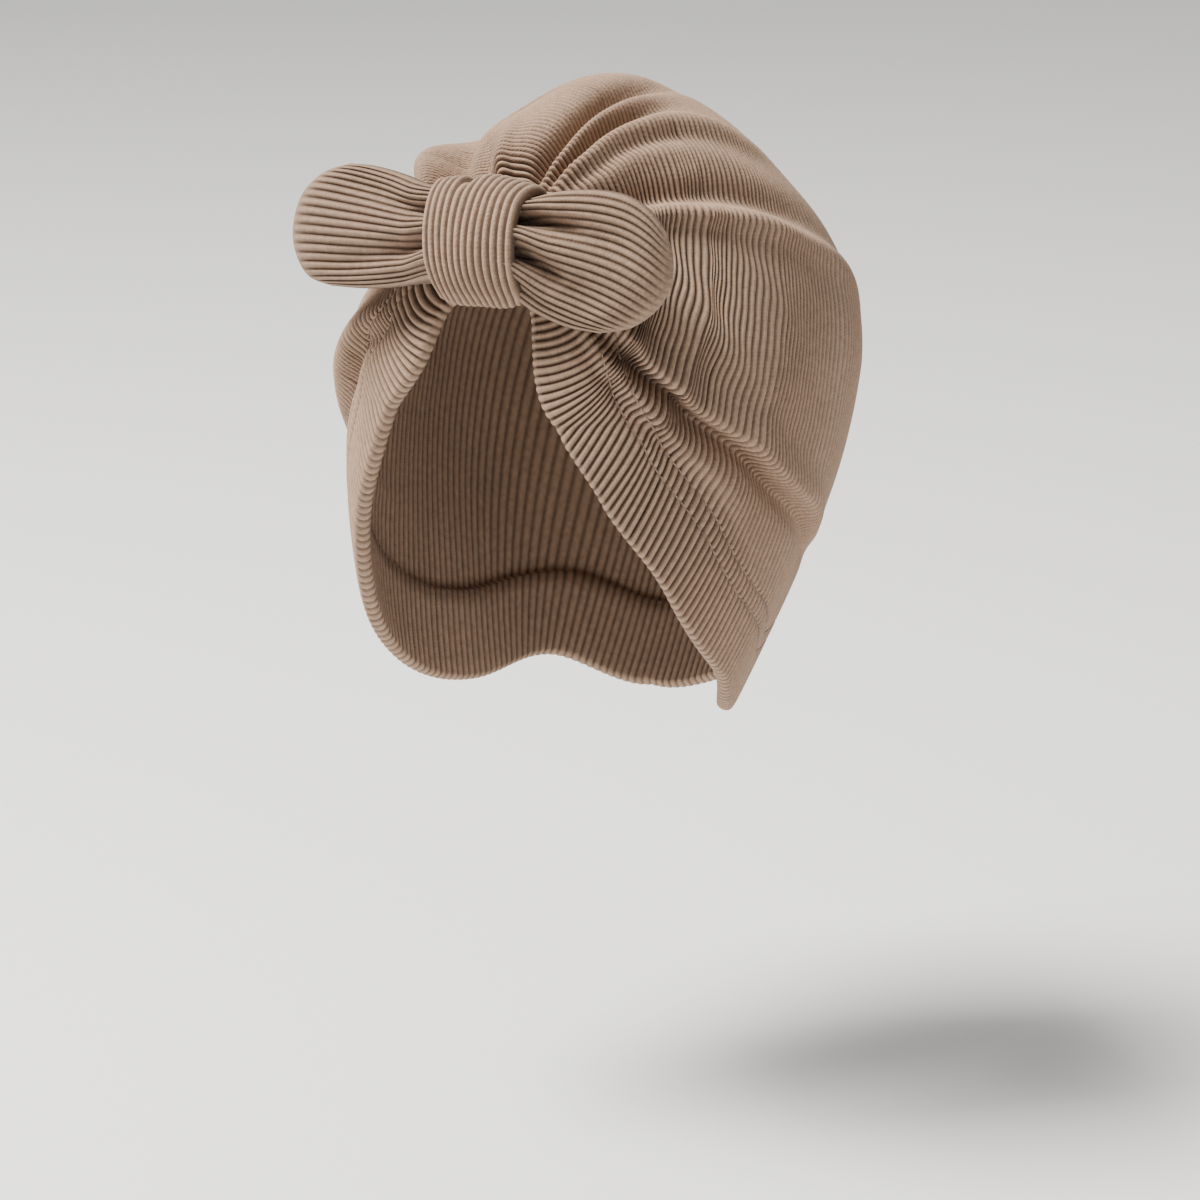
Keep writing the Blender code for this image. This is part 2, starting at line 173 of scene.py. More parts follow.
# %% Ribs over the egg
# Name, then for the left and for the right half of the rim: degrees away from
# the side's middle and degrees turned about it
HEM_ROWS = [
    ("behind_knot", 90.0, 153.0, 90.0, 153.0),
    ("beside_knot", 80.7, 156.5, 77.3, 155.9),
    ("temple", 74.2, 176.5, 70.8, 170.2),
    ("cheek", 60.6, 190.1, 57.3, 185.3),
    ("jaw", 46.2, 210.0, 45.1, 206.7),
    ("below_ear", 39.3, 247.4, 41.4, 245.0),
    ("behind_ear", 50.5, 283.3, 50.5, 283.3),
    ("neck", 63.2, 307.5, 63.2, 307.5),
    ("nape", 90.0, 311.0, 90.0, 311.0),
]
TOP_LINE_FRONT = 140.0
TOP_LINE_BACK = 18.0
HEM_PULL = 0.42
TOP_PULL = 0.30
TOP_PULL_FADE = 0.85
TOP_PULL_FADE_SPAN = (0.6, 1.0)
SEAM_BLEND = 0.55
CURVE_STEPS = 260


def through_rows(rows, share):
    """A smooth curve through evenly spaced rows, read at shares 0 to 1."""
    rows = np.asarray(rows, float)
    last = len(rows) - 1
    place = np.clip(np.asarray(share, float) * last, 0, last)
    index = np.minimum(place.astype(int), last - 1)
    part = place - index
    if rows.ndim > 1:
        part = part[..., None]
    ends = np.concatenate([[2 * rows[0] - rows[1]], rows, [2 * rows[-1] - rows[-2]]])
    before, start, end, after = (ends[index + step] for step in range(4))
    cubic = -before + 3 * start - 3 * end + after
    square = 2 * before - 5 * start + 4 * end - after
    return 0.5 * (2 * start + (end - before) * part + square * part ** 2 + cubic * part ** 3)


def hem_chart(share, side):
    """The rim's line on the chart, on the left (1) or right (-1) side."""
    first = 1 if side > 0 else 3
    places = through_rows([row[first:first + 2] for row in HEM_ROWS], share)
    return side_chart(places[..., 0], places[..., 1])


def top_chart(share):
    """The middle line over the top on the chart."""
    turned = TOP_LINE_FRONT + (TOP_LINE_BACK - TOP_LINE_FRONT) * np.asarray(share, float)
    return side_chart(np.full_like(turned, 90.0), turned)


def even_share(curve, share, steps=400):
    """The curve's own shares that lie at even distances along the egg."""
    own = np.linspace(0, 1, steps)
    points = egg_point(curve(own))
    run = np.concatenate([[0], np.cumsum(np.linalg.norm(np.diff(points, axis=0), axis=1))])
    return np.interp(share, run / run[-1], own)


def rib_charts(share, side):
    """Chart curves of the ribs of one side, from the rim up to the middle line."""
    hem_share = even_share(lambda own: hem_chart(own, side), share)
    hem = hem_chart(hem_share, side)
    top = top_chart(even_share(top_chart, share))
    nudge = 0.001
    after = hem_chart(np.clip(hem_share + nudge, 0, 1), side)
    before = hem_chart(np.clip(hem_share - nudge, 0, 1), side)
    along = after - before
    along /= np.linalg.norm(along, axis=-1, keepdims=True)
    square_off = np.stack([-along[:, 1], along[:, 0]], -1)
    outward = top / np.linalg.norm(top, axis=-1, keepdims=True)
    reach = np.linalg.norm(top - hem, axis=-1, keepdims=True)
    top_pull = TOP_PULL * (1 - TOP_PULL_FADE * smooth_step(share, *TOP_PULL_FADE_SPAN))[:, None]
    near_hem = (hem + square_off * reach * HEM_PULL)[:, None]
    near_top = (top - outward * reach * top_pull)[:, None]
    b = np.linspace(0, 1, CURVE_STEPS)[None, :, None]
    start = hem[:, None]
    end = top[:, None]
    curves = ((1 - b) ** 3 * start + 3 * (1 - b) ** 2 * b * near_hem
              + 3 * (1 - b) * b ** 2 * near_top + b ** 3 * end)
    nape_turned = HEM_ROWS[-1][2] - 360.0
    seam_turned = nape_turned + (TOP_LINE_BACK - nape_turned) * b[0, :, 0]
    seam = side_chart(np.full(CURVE_STEPS, 90.0), seam_turned)[None]
    beside_seam = seam + (start - seam[:, :1]) * (1 - b) + (end - seam[:, -1:]) * b
    blend = smooth_step(share, SEAM_BLEND, 1.0)[:, None, None]
    return (1 - blend) * curves + blend * beside_seam


def smooth_cloth(share, rib_share):
    """Points of the unfolded cloth, and the whole length of each rib."""
    points = np.zeros(rib_share.shape + (3,))
    lengths = np.zeros(len(share))
    for side in (1, -1):
        half = egg_point(rib_charts(share, side))
        steps = np.linalg.norm(np.diff(half, axis=1), axis=2)
        run = np.concatenate([np.zeros((len(share), 1)), np.cumsum(steps, axis=1)], axis=1)
        lengths += run[:, -1]
        half[..., 0] *= side
        for row in range(len(share)):
            here = (rib_share[row] <= 0.5) == (side > 0)
            from_hem = np.minimum(rib_share[row, here], 1 - rib_share[row, here]) * 2 * run[row, -1]
            for axis in range(3):
                points[row, here, axis] = np.interp(from_hem, run[row], half[row, :, axis])
    return points, lengths


middle_rib = smooth_cloth(np.array([0.5]), np.array([[0.5]]))[1][0]
print("the middle rib is", round(middle_rib), "mm long")

# %% [markdown]
# ## Folds that fan out from the knot
#
# Gathered cloth folds along lines that run away from the gather and die out. A
# cloth simulation could find such folds, but not these ones, so each fold is a
# row of a table instead: where it runs, where it ends, how high and how wide it
# is. A fold with a negative height is a crease. The lean lets a crest hang over
# the crease beside it, which makes the deep shadow of a real overhang.

# %% Folds
# Name, then shares along the rib: at the knot, at a quarter and at half of the
# way to the seam; then shares of that way: where the fold is full and where it
# has died out; then its height, its half width as a share of a rib, its lean
FOLDS = [
    ("small_fold", 0.100, 0.096, 0.088, 0.18, 0.52, 3.8, 0.011, 1.2),
    ("small_crease", 0.083, 0.079, 0.070, 0.20, 0.40, -1.6, 0.008, 0.0),
    ("overhang", 0.150, 0.138, 0.139, 0.20, 0.86, 5.4, 0.012, 4.2),
    ("overhang_body", 0.185, 0.174, 0.170, 0.26, 0.80, 2.4, 0.034, 0.0),
    ("overhang_crease", 0.124, 0.118, 0.121, 0.20, 0.88, -5.0, 0.010, -1.2),
    ("side_ridge", 0.318, 0.313, 0.311, 0.13, 0.82, 4.6, 0.014, 1.4),
    ("side_valley", 0.362, 0.345, 0.332, 0.13, 0.78, -5.0, 0.019, 0.0),
    ("upper_ridge_low", 0.402, 0.394, 0.374, 0.13, 0.50, 2.0, 0.012, 0.0),
    ("upper_ridge", 0.440, 0.430, 0.402, 0.13, 0.66, 5.2, 0.014, 1.2),
    ("upper_valley", 0.454, 0.449, 0.446, 0.13, 0.50, -4.2, 0.009, -0.8),
    ("top_ridge", 0.467, 0.466, 0.461, 0.13, 0.50, 3.4, 0.008, 0.0),
    ("top_valley", 0.482, 0.484, 0.478, 0.13, 0.64, -5.0, 0.009, -1.0),
    ("top_fold", 0.540, 0.526, 0.508, 0.13, 0.74, 5.0, 0.038, 2.6),
    ("front_crest", 0.552, 0.566, 0.580, 0.10, 0.34, 2.6, 0.011, -1.0),
    ("front_hollow", 0.590, 0.600, 0.610, 0.10, 0.32, -2.6, 0.014, 0.0),
    ("top_fold_edge", 0.666, 0.641, 0.602, 0.13, 0.50, -6.0, 0.015, 0.0),
    ("brow_bump", 0.705, 0.672, 0.636, 0.13, 0.55, 6.8, 0.019, 0.0),
    ("right_ridge", 0.750, 0.745, 0.735, 0.13, 0.75, 3.0, 0.020, 0.0),
    ("right_valley", 0.800, 0.795, 0.780, 0.13, 0.75, -2.8, 0.018, 0.0),
    ("rope_fold", 0.900, 0.874, 0.860, 0.30, 0.66, 4.8, 0.021, -1.4),
    ("rope_crease", 0.925, 0.900, 0.886, 0.32, 0.66, -3.0, 0.012, 0.0),
]
GATHER_START = 0.05
LEAN_SPAN = (0.12, 0.30)
FADE_FROM = 0.45


def fold_relief(share, rib_share, lengths):
    """Height of the folds above the smooth cloth, and their lean along the rib."""
    height = np.zeros(rib_share.shape)
    lean = np.zeros(rib_share.shape)
    lean_start = smooth_step(share, *LEAN_SPAN)[:, None]
    widening = np.sqrt(lengths.max() / lengths)
    for _name, knot, quarter, half, full, dies, rise, half_width, over in FOLDS:
        line = through_rows([knot, quarter, half], np.clip(share * 2, 0, 1))
        grown = smooth_step(share, GATHER_START, full)
        strength = grown * (1 - smooth_step(share, FADE_FROM * dies, dies))
        off = (rib_share - line[:, None]) / (half_width * widening)[:, None]
        crest = np.exp(-off ** 2) * strength[:, None]
        height += rise * crest
        lean -= over * crest
    return height, lean * lean_start


def cloth_directions(points):
    """Outward, along-the-rib and across-the-rib directions of a sheet."""
    along = np.gradient(points, axis=1)
    along /= np.linalg.norm(along, axis=-1, keepdims=True) + TINY
    across = np.gradient(points, axis=0)
    across /= np.linalg.norm(across, axis=-1, keepdims=True) + TINY
    outward = np.cross(across, along)
    outward /= np.linalg.norm(outward, axis=-1, keepdims=True) + TINY
    facing = np.sign(np.sum(outward * (points - CENTRE), axis=-1, keepdims=True))
    return outward * facing, along, across


def folded_cloth(share, rib_share):
    """The folded cloth without its ribs: points, directions and rib lengths."""
    points, lengths = smooth_cloth(share, rib_share)
    outward, along, _across = cloth_directions(points)
    height, lean = fold_relief(share, rib_share, lengths)
    points = points + outward * height[..., None] + along * lean[..., None]
    outward, along, across = cloth_directions(points)
    return points, outward, along, across, lengths


print(len(FOLDS), "folds and creases")

# %% [markdown]
# ## A mesh from rows of points
#
# Blender can build a mesh face by face, which is slow for a fine knit. Numpy
# makes the corner numbers of all faces at once, and foreach_set hands them over
# in one go. Each vertex also gets its place in the knit, as a UV map: the rib's
# number and the distance along it in millimetres. The material reads that, so
# the stitches follow the cloth wherever it bends.

# %% Mesh helpers
PLACE_MAP = "knit_place"
# The rib depth at each vertex also sets how much shade is painted into the grooves
DEPTH_ATTRIBUTE = "rib_depth"


def grid_quads(corner):
    """Quads of a grid of vertex numbers, row by row."""
    sides = corner[:-1, :-1], corner[1:, :-1], corner[1:, 1:], corner[:-1, 1:]
    return np.stack(sides, -1).reshape(-1, 4)


def zipped(first, second, first_place, second_place):
    """Triangles between two lines of vertices whose places both grow."""
    triangles = []
    i = j = 0
    while i < len(first) - 1 or j < len(second) - 1:
        first_ends = i == len(first) - 1
        second_ends = j == len(second) - 1
        if second_ends or (not first_ends and first_place[i + 1] <= second_place[j + 1]):
            triangles.append((first[i], second[j], first[i + 1]))
            i += 1
        else:
            triangles.append((first[i], second[j], second[j + 1]))
            j += 1
    return np.array(triangles)


def mesh_piece(name, points, quads, triangles, place, material, depth=None, flat_triangles=False):
    """A smooth object from numpy arrays, without the vertices that no face uses."""
    corners = np.concatenate([quads.ravel(), triangles.ravel()]).astype(int)
    used, corners = np.unique(corners, return_inverse=True)
    mesh = bpy.data.meshes.new(name)
    mesh.vertices.add(len(used))
    mesh.vertices.foreach_set("co", (points[used] * MM).ravel())
    mesh.loops.add(len(corners))
    mesh.loops.foreach_set("vertex_index", corners)
    starts = np.concatenate([np.arange(len(quads)) * 4, quads.size + np.arange(len(triangles)) * 3])
    mesh.polygons.add(len(starts))
    mesh.polygons.foreach_set("loop_start", starts)
    mesh.update(calc_edges=True)
    layer = mesh.uv_layers.new(name=PLACE_MAP)
    layer.data.foreach_set("uv", place[used][corners].ravel())
    rib_depth = mesh.attributes.new(DEPTH_ATTRIBUTE, "FLOAT", "POINT")
    rib_depth.data.foreach_set("value", np.ones(len(used)) if depth is None else depth[used])
    # A cap of triangles shaded smooth would darken the grid that it closes
    is_quad = np.arange(len(starts)) < len(quads)
    mesh.polygons.foreach_set("use_smooth", is_quad | (not flat_triangles))
    mesh.materials.append(material)
    piece = bpy.data.objects.new(name, mesh)
    bpy.context.scene.collection.objects.link(piece)
    print(name, len(quads) * 2 + len(triangles), "triangles")
    return piece


print("each piece carries", PLACE_MAP, "and", DEPTH_ATTRIBUTE)

# %% [markdown]
# ## Knit as a shader
#
# The ribs are modelled, but the loops of yarn are far smaller than a rib, so
# they are left to the material. One node group makes the knit for every piece:
# it paints shade into the grooves between the ribs, lays two columns of slanted
# loops on each rib, and adds the fuzz and the slight cloudiness of brushed cotton.

# %% Node helpers
def add_math(tree, operation, first, second=None):
    """A math node on sockets or numbers; returns its output."""
    node = tree.nodes.new("ShaderNodeMath")
    node.operation = operation
    for slot, value in enumerate((first, second)):
        if value is None:
            continue
        if isinstance(value, (int, float)):
            node.inputs[slot].default_value = value
        else:
            tree.links.new(value, node.inputs[slot])
    return node.outputs[0]


def add_range(tree, value, low, high, to_low, to_high, smooth=False):
    """A map range node on a socket; returns its output."""
    node = tree.nodes.new("ShaderNodeMapRange")
    node.interpolation_type = "SMOOTHSTEP" if smooth else "LINEAR"
    tree.links.new(value, node.inputs["Value"])
    for name, number in (("From Min", low), ("From Max", high), ("To Min", to_low), ("To Max", to_high)):
        node.inputs[name].default_value = number
    return node.outputs["Result"]


def add_mix(tree, factor, first, second, blend="MIX"):
    """A colour mix node; returns its output."""
    node = tree.nodes.new("ShaderNodeMix")
    node.data_type = "RGBA"
    node.blend_type = blend
    for name, value in (("Factor", factor), ("A", first), ("B", second)):
        socket = [s for s in node.inputs if s.name == name and s.enabled][0]
        if isinstance(value, (int, float, tuple)):
            socket.default_value = value
        else:
            tree.links.new(value, socket)
    return [s for s in node.outputs if s.enabled][0]


def add_noise(tree, place, scale, detail):
    """A noise texture on a place; returns its value."""
    node = tree.nodes.new("ShaderNodeTexNoise")
    node.inputs["Scale"].default_value = scale
    node.inputs["Detail"].default_value = detail
    tree.links.new(place, node.inputs["Vector"])
    return node.outputs["Fac"]


print("node helpers:", ", ".join(helper.__name__ for helper in (add_math, add_range, add_mix, add_noise)))

# %% [markdown]
# Where the cloth is stretched its ribs are low, and the shade painted into their
# grooves is paler as well. The depth that each vertex carries tells the group
# how dark the painted shade in a groove is.
# The noises have three sizes: fuzz finer than a loop, flecks of a few loops and
# clouds as wide as a finger.

# %% Knit node group
# Where across a rib the painted groove shade starts and is full, and how pale it is on low ribs
GROOVE_SHADE_EDGES = (0.14, 0.48)
LOW_RIB = 0.3
LOW_RIB_GROOVE_SHADE = 0.30
LOOP_SLANT = 1.1
FUZZ_SCALE = 1700.0
FLECK_SCALE = 620.0
CLOUD_SCALE = 38.0
NOISE_SPAN = (0.3, 0.7)
FLECK_SHADE = (0.86, 1.12)
CLOUD_SHADE = (0.95, 1.04)
LOOP_SHADE = (0.93, 1.04)
LOOP_BUMP = 0.26
FUZZ_BUMP = 0.9
FLECK_BUMP = 0.8


def make_knit_group():
    """The node group that every cloth of the hat shares."""
    tree = bpy.data.node_groups.new("ribbed_knit", "ShaderNodeTree")
    sockets = [
        ("Place", "INPUT", "NodeSocketVector"),
        ("Position", "INPUT", "NodeSocketVector"),
        ("Crest colour", "INPUT", "NodeSocketColor"),
        ("Groove painted shade", "INPUT", "NodeSocketColor"),
        ("Loop length", "INPUT", "NodeSocketFloat"),
        ("Rib depth", "INPUT", "NodeSocketFloat"),
        ("Color", "OUTPUT", "NodeSocketColor"),
        ("Height", "OUTPUT", "NodeSocketFloat"),
    ]
    for name, way, kind in sockets:
        tree.interface.new_socket(name=name, in_out=way, socket_type=kind)
    inside = tree.nodes.new("NodeGroupInput").outputs
    outside = tree.nodes.new("NodeGroupOutput").inputs
    split = tree.nodes.new("ShaderNodeSeparateXYZ")
    tree.links.new(inside["Place"], split.inputs[0])

    across = add_math(tree, "FRACT", split.outputs["X"])
    from_crest = add_math(tree, "ABSOLUTE", add_math(tree, "SUBTRACT", across, 0.5))
    # Shade is painted into the groove between two ribs, paler where the ribs are low
    groove_shade = add_range(tree, from_crest, *GROOVE_SHADE_EDGES, 0.0, 1.0, smooth=True)
    darkness = add_range(tree, inside["Rib depth"], LOW_RIB, 1.0, LOW_RIB_GROOVE_SHADE, 1.0)
    groove_shade = add_math(tree, "MULTIPLY", groove_shade, darkness)

    column = add_math(tree, "FRACT", add_math(tree, "MULTIPLY", across, 2.0))
    from_column = add_math(tree, "ABSOLUTE", add_math(tree, "SUBTRACT", column, 0.5))
    along = add_math(tree, "DIVIDE", split.outputs["Y"], inside["Loop length"])
    slanted = add_math(tree, "ADD", along, add_math(tree, "MULTIPLY", from_column, LOOP_SLANT))
    wave = add_math(tree, "SINE", add_math(tree, "MULTIPLY", slanted, 2 * math.pi))
    loops = add_range(tree, wave, -1.0, 1.0, 0.0, 1.0)

    fuzz = add_noise(tree, inside["Position"], FUZZ_SCALE, 3.0)
    fleck = add_noise(tree, inside["Position"], FLECK_SCALE, 2.0)
    cloud = add_noise(tree, inside["Position"], CLOUD_SCALE, 2.0)

    colour = add_mix(tree, groove_shade, inside["Crest colour"], inside["Groove painted shade"])
    shade = add_range(tree, fleck, *NOISE_SPAN, *FLECK_SHADE)
    shade = add_math(tree, "MULTIPLY", shade, add_range(tree, cloud, *NOISE_SPAN, *CLOUD_SHADE))
    shade = add_math(tree, "MULTIPLY", shade, add_range(tree, loops, 0.0, 1.0, *LOOP_SHADE))
    combined = tree.nodes.new("ShaderNodeCombineColor")
    for channel in combined.inputs:
        tree.links.new(shade, channel)
    tree.links.new(add_mix(tree, 1.0, colour, combined.outputs[0], "MULTIPLY"), outside["Color"])

    height = add_math(tree, "MULTIPLY", loops, LOOP_BUMP)
    height = add_math(tree, "ADD", height, add_math(tree, "MULTIPLY", fuzz, FUZZ_BUMP))
    height = add_math(tree, "ADD", height, add_math(tree, "MULTIPLY", fleck, FLECK_BUMP))
    tree.links.new(height, outside["Height"])
    return tree


KNIT_GROUP = make_knit_group()
print("knit group:", len(KNIT_GROUP.nodes), "nodes")

# %% [markdown]
# ## The cloth's materials
#
# Brown cotton knit hardly shines, but its loose fibres catch the light at the
# edges, which is what the sheen of the Principled shader is for. Its values are
# the same all over the cloth, so they are set on the sockets themselves. Shade is
# painted into the grooves between the ribs. The knot is pulled tight, so the
# shade painted into its grooves is a little lighter, and the bow's ears get
# painted shade that makes them a little darker than the crown.

# %% Knit materials
KNIT_ROUGHNESS = 0.92
KNIT_SPECULAR = 0.25
SHEEN = 0.07
SHEEN_ROUGHNESS = 0.45
SHEEN_TINT = (0.95, 0.86, 0.78, 1.0)
BUMP_STRENGTH = 0.8
CREST_COLOUR = (0.340, 0.226, 0.154, 1.0)
# Shade painted into the grooves between the ribs, lighter on the tight knot
GROOVE_SHADE_COLOUR = (0.095, 0.056, 0.035, 1.0)
KNOT_GROOVE_SHADE_COLOUR = (0.120, 0.072, 0.047, 1.0)
# The bow's crest is the knit's brown with painted shade that makes the ears darker; its groove colour is
# painted shade too
BOW_CREST_COLOUR_AND_SHADE = (0.268, 0.178, 0.121, 1.0)
BOW_GROOVE_SHADE_COLOUR = (0.105, 0.064, 0.041, 1.0)


def knit_material(name, crest=CREST_COLOUR, groove_shade=GROOVE_SHADE_COLOUR, loop_length=1.0, depth=0.22):
    """A Principled material on the knit group; loop length and depth are in millimetres."""
    material = bpy.data.materials.new(name)
    material.use_nodes = True
    tree = material.node_tree
    shader = tree.nodes["Principled BSDF"]
    shader.inputs["Roughness"].default_value = KNIT_ROUGHNESS
    shader.inputs["Specular IOR Level"].default_value = KNIT_SPECULAR
    shader.inputs["Sheen Weight"].default_value = SHEEN
    shader.inputs["Sheen Roughness"].default_value = SHEEN_ROUGHNESS
    shader.inputs["Sheen Tint"].default_value = SHEEN_TINT
    knit = tree.nodes.new("ShaderNodeGroup")
    knit.node_tree = KNIT_GROUP
    place = tree.nodes.new("ShaderNodeUVMap")
    place.uv_map = PLACE_MAP
    position = tree.nodes.new("ShaderNodeTexCoord")
    bump = tree.nodes.new("ShaderNodeBump")
    bump.inputs["Strength"].default_value = BUMP_STRENGTH
    bump.inputs["Distance"].default_value = depth * MM
    knit.inputs["Crest colour"].default_value = crest
    knit.inputs["Groove painted shade"].default_value = groove_shade
    knit.inputs["Loop length"].default_value = loop_length
    rib_depth = tree.nodes.new("ShaderNodeAttribute")
    rib_depth.attribute_name = DEPTH_ATTRIBUTE
    tree.links.new(rib_depth.outputs["Fac"], knit.inputs["Rib depth"])
    tree.links.new(place.outputs[0], knit.inputs["Place"])
    tree.links.new(position.outputs["Object"], knit.inputs["Position"])
    tree.links.new(knit.outputs["Color"], shader.inputs["Base Color"])
    tree.links.new(knit.outputs["Height"], bump.inputs["Height"])
    tree.links.new(bump.outputs[0], shader.inputs["Normal"])
    return material


CROWN_KNIT = knit_material("crown_ribbed_knit")
KNOT_KNIT = knit_material("knot_ribbed_knit", groove_shade=KNOT_GROOVE_SHADE_COLOUR)
BOW_KNIT = knit_material("bow_ribbed_knit", crest=BOW_CREST_COLOUR_AND_SHADE, groove_shade=BOW_GROOVE_SHADE_COLOUR)
print("materials:", ", ".join(material.name for material in (CROWN_KNIT, KNOT_KNIT, BOW_KNIT)))

# %% [markdown]
# ## Ribs and stitches on the cloth
#
# A rib is a round cord of loops, and the groove between two ribs is narrow, with
# shade painted into it. Bump alone would look flat at the folds, so the ribs are
# real relief: an arch over each rib's width. The arches are high near the knot
# and at the rim, and low where the cloth is stretched. Two rows of stitches run
# along the rim, 17 and 22.5 mm in, or nearer to it where the ribs are short, and
# pull the ribs down where they cross.

# %% Rib relief
# Distances in millimetres, and the most that a distance may be as a share of a rib
RIB_COUNT = 102
RIB_HEIGHT = 1.3
STITCH_LINES = (17.0, 22.5)
TURNED_WIDTH = 24.5
MOST_HEM_SHARE = 0.16
PUCKER_WIDTH = 0.55

# Strength of the ribs by the seam, what nearness to the knot adds, and its reach
SEAM_STRENGTH = 0.36
KNOT_STRENGTH = 0.66
KNOT_STRENGTH_REACH = 0.42

# Where the cloth is pulled flat over the top, along a rib, and how much it loses
TOP_FLAT_PLACE = 0.53
TOP_FLAT_SPREAD = 0.07
TOP_FLAT_SPAN = (0.10, 0.22)
TOP_FLAT_LOSS = 0.5

# How far the rim's strong ribs reach in, and what the rim loses towards the nape
RIM_INNER = 4.0
RIM_OUTER = 14.0
NAPE_SPAN = (0.36, 0.72)
NAPE_LOSS = 0.6


def rib_profile(number):
    """0 in a groove and 1 on a crest, for a rib number with its fraction."""
    off = 2 * np.abs(number - np.floor(number) - 0.5)
    return 1 - off ** 2


def rib_strength(share, rib_share, lengths):
    """1 where the ribs stand close and high, less where the cloth is stretched flat."""
    from_rim = np.minimum(rib_share, 1 - rib_share) * lengths[:, None]
    strength = SEAM_STRENGTH + KNOT_STRENGTH * bell(share, 0.0, KNOT_STRENGTH_REACH)[:, None]
    over_top = bell(rib_share, TOP_FLAT_PLACE, TOP_FLAT_SPREAD) * smooth_step(share, *TOP_FLAT_SPAN)[:, None]
    strength = strength * (1 - TOP_FLAT_LOSS * over_top)
    at_rim = 1 - smooth_step(from_rim, TURNED_WIDTH - RIM_INNER, TURNED_WIDTH + RIM_OUTER)
    rim = at_rim * (1 - NAPE_LOSS * smooth_step(share, *NAPE_SPAN))[:, None]
    return np.clip(np.maximum(strength, rim), 0, 1)


def hem_share_of(distance, lengths):
    """The share of a rib that lies at a distance in from the rim."""
    return np.minimum(distance / lengths, MOST_HEM_SHARE * distance / TURNED_WIDTH)


def stitch_pucker(rib_share, lengths):
    """1 on the two lines of stitches and 0 away from them, on both rims."""
    from_rim = np.minimum(rib_share, 1 - rib_share)
    pucker = np.zeros(rib_share.shape)
    for distance in STITCH_LINES:
        line = hem_share_of(distance, lengths)[:, None]
        off = (from_rim - line) * lengths[:, None]
        pucker = np.maximum(pucker, bell(off, 0.0, PUCKER_WIDTH))
    return pucker


rim_line = egg_point(hem_chart(np.linspace(0, 1, 200), 1))
rim_length = np.linalg.norm(np.diff(rim_line, axis=0), axis=1).sum()
print("rib pitch at the left rim:", round(rim_length / RIB_COUNT, 2), "mm")

# %% [markdown]
# Real ribs are not straight: where the stretched cloth relaxes they wander from
# side to side. Noise would bend each rib by itself and make neighbours touch.
# Two long waves that shift slowly from rib to rib bend them together instead.

# %% Wandering ribs
# Wave length in millimetres, strength, turn from knot to seam, starting turn
WAVES = [(27.0, 0.7, 4.0, 0.0), (15.0, 0.45, 8.0, 1.0)]
CALM_WAVES = 0.10
LOOSE_WAVES = 0.6
LOOSE_ALONG = (0.21, 0.09)
LOOSE_FROM_KNOT = (0.32, 0.16)

# Ribs that swing at the overhang: place along them, spread and strength
SWINGS = [(0.106, 0.010, 0.7), (0.080, 0.011, -0.56)]
SWING_FROM_KNOT = (0.34, 0.11)


def rib_waves(share, rib_share, lengths):
    """How far the ribs stray sideways where the stretched cloth relaxes."""
    run = rib_share * lengths[:, None]
    from_knot = share[:, None]
    loose = bell(rib_share, *LOOSE_ALONG) * bell(from_knot, *LOOSE_FROM_KNOT)
    waves = np.zeros(rib_share.shape)
    for length, strength, shift, start in WAVES:
        waves += strength * np.sin(run * (2 * math.pi / length) + shift * from_knot + start)
    swing = np.zeros(rib_share.shape)
    for place, spread, strength in SWINGS:
        swing += strength * bell(rib_share, place, spread)
    return (CALM_WAVES + LOOSE_WAVES * loose) * waves + bell(from_knot, *SWING_FROM_KNOT) * swing


print(len(WAVES), "waves and", len(SWINGS), "swings")

# %% [markdown]
# ## The crown's cloth
#
# The cloth is a closed sheet: an outside with ribs, a rounded rim, the turned
# strip inside the rim and the plain inside of the crown. Its section along a
# rib is one ring of points, and neighbouring rings are joined. The columns are
# the places of those points. A sharp fold needs many of them and a plain
# stretch needs few, so they crowd together where the table of folds says so.

# %% Columns along a rib
# Distances in millimetres, and numbers of columns on one half of a rib
TURNED_GAP = 0.4
SIDE_COLUMNS = 132
INSIDE_COLUMNS = 58
HEM_COLUMNS = 14
STITCH_COLUMNS = 5
STRIP_COLUMNS = 6
STITCH_MARGIN = 1.1
EDGE_STEP = 0.5
CROWDING_STEPS = 600
CROWDING_START = 0.09
CROWDING_REACH = 2.2
COLUMN_CROWDING = 2.2
LEAN_CROWDING = 3.0


def crowded_columns(count, crowding):
    """Even shares from 0 to 1, drawn together where folds lie."""
    even = np.linspace(0, 1, CROWDING_STEPS)
    density = np.ones_like(even)
    reach = 0.5 - CROWDING_START
    for _name, _knot, quarter, half, _full, _dies, _rise, half_width, over in FOLDS:
        needed = crowding * (1 + abs(over) / LEAN_CROWDING)
        for at in (quarter, half):
            line = (min(at, 1 - at) - CROWDING_START) / reach
            density += needed / 2 * bell(even, line, CROWDING_REACH * half_width / reach)
    run = np.cumsum(density) - density[0]
    return np.interp(np.linspace(0, 1, count), run / run[-1], even)


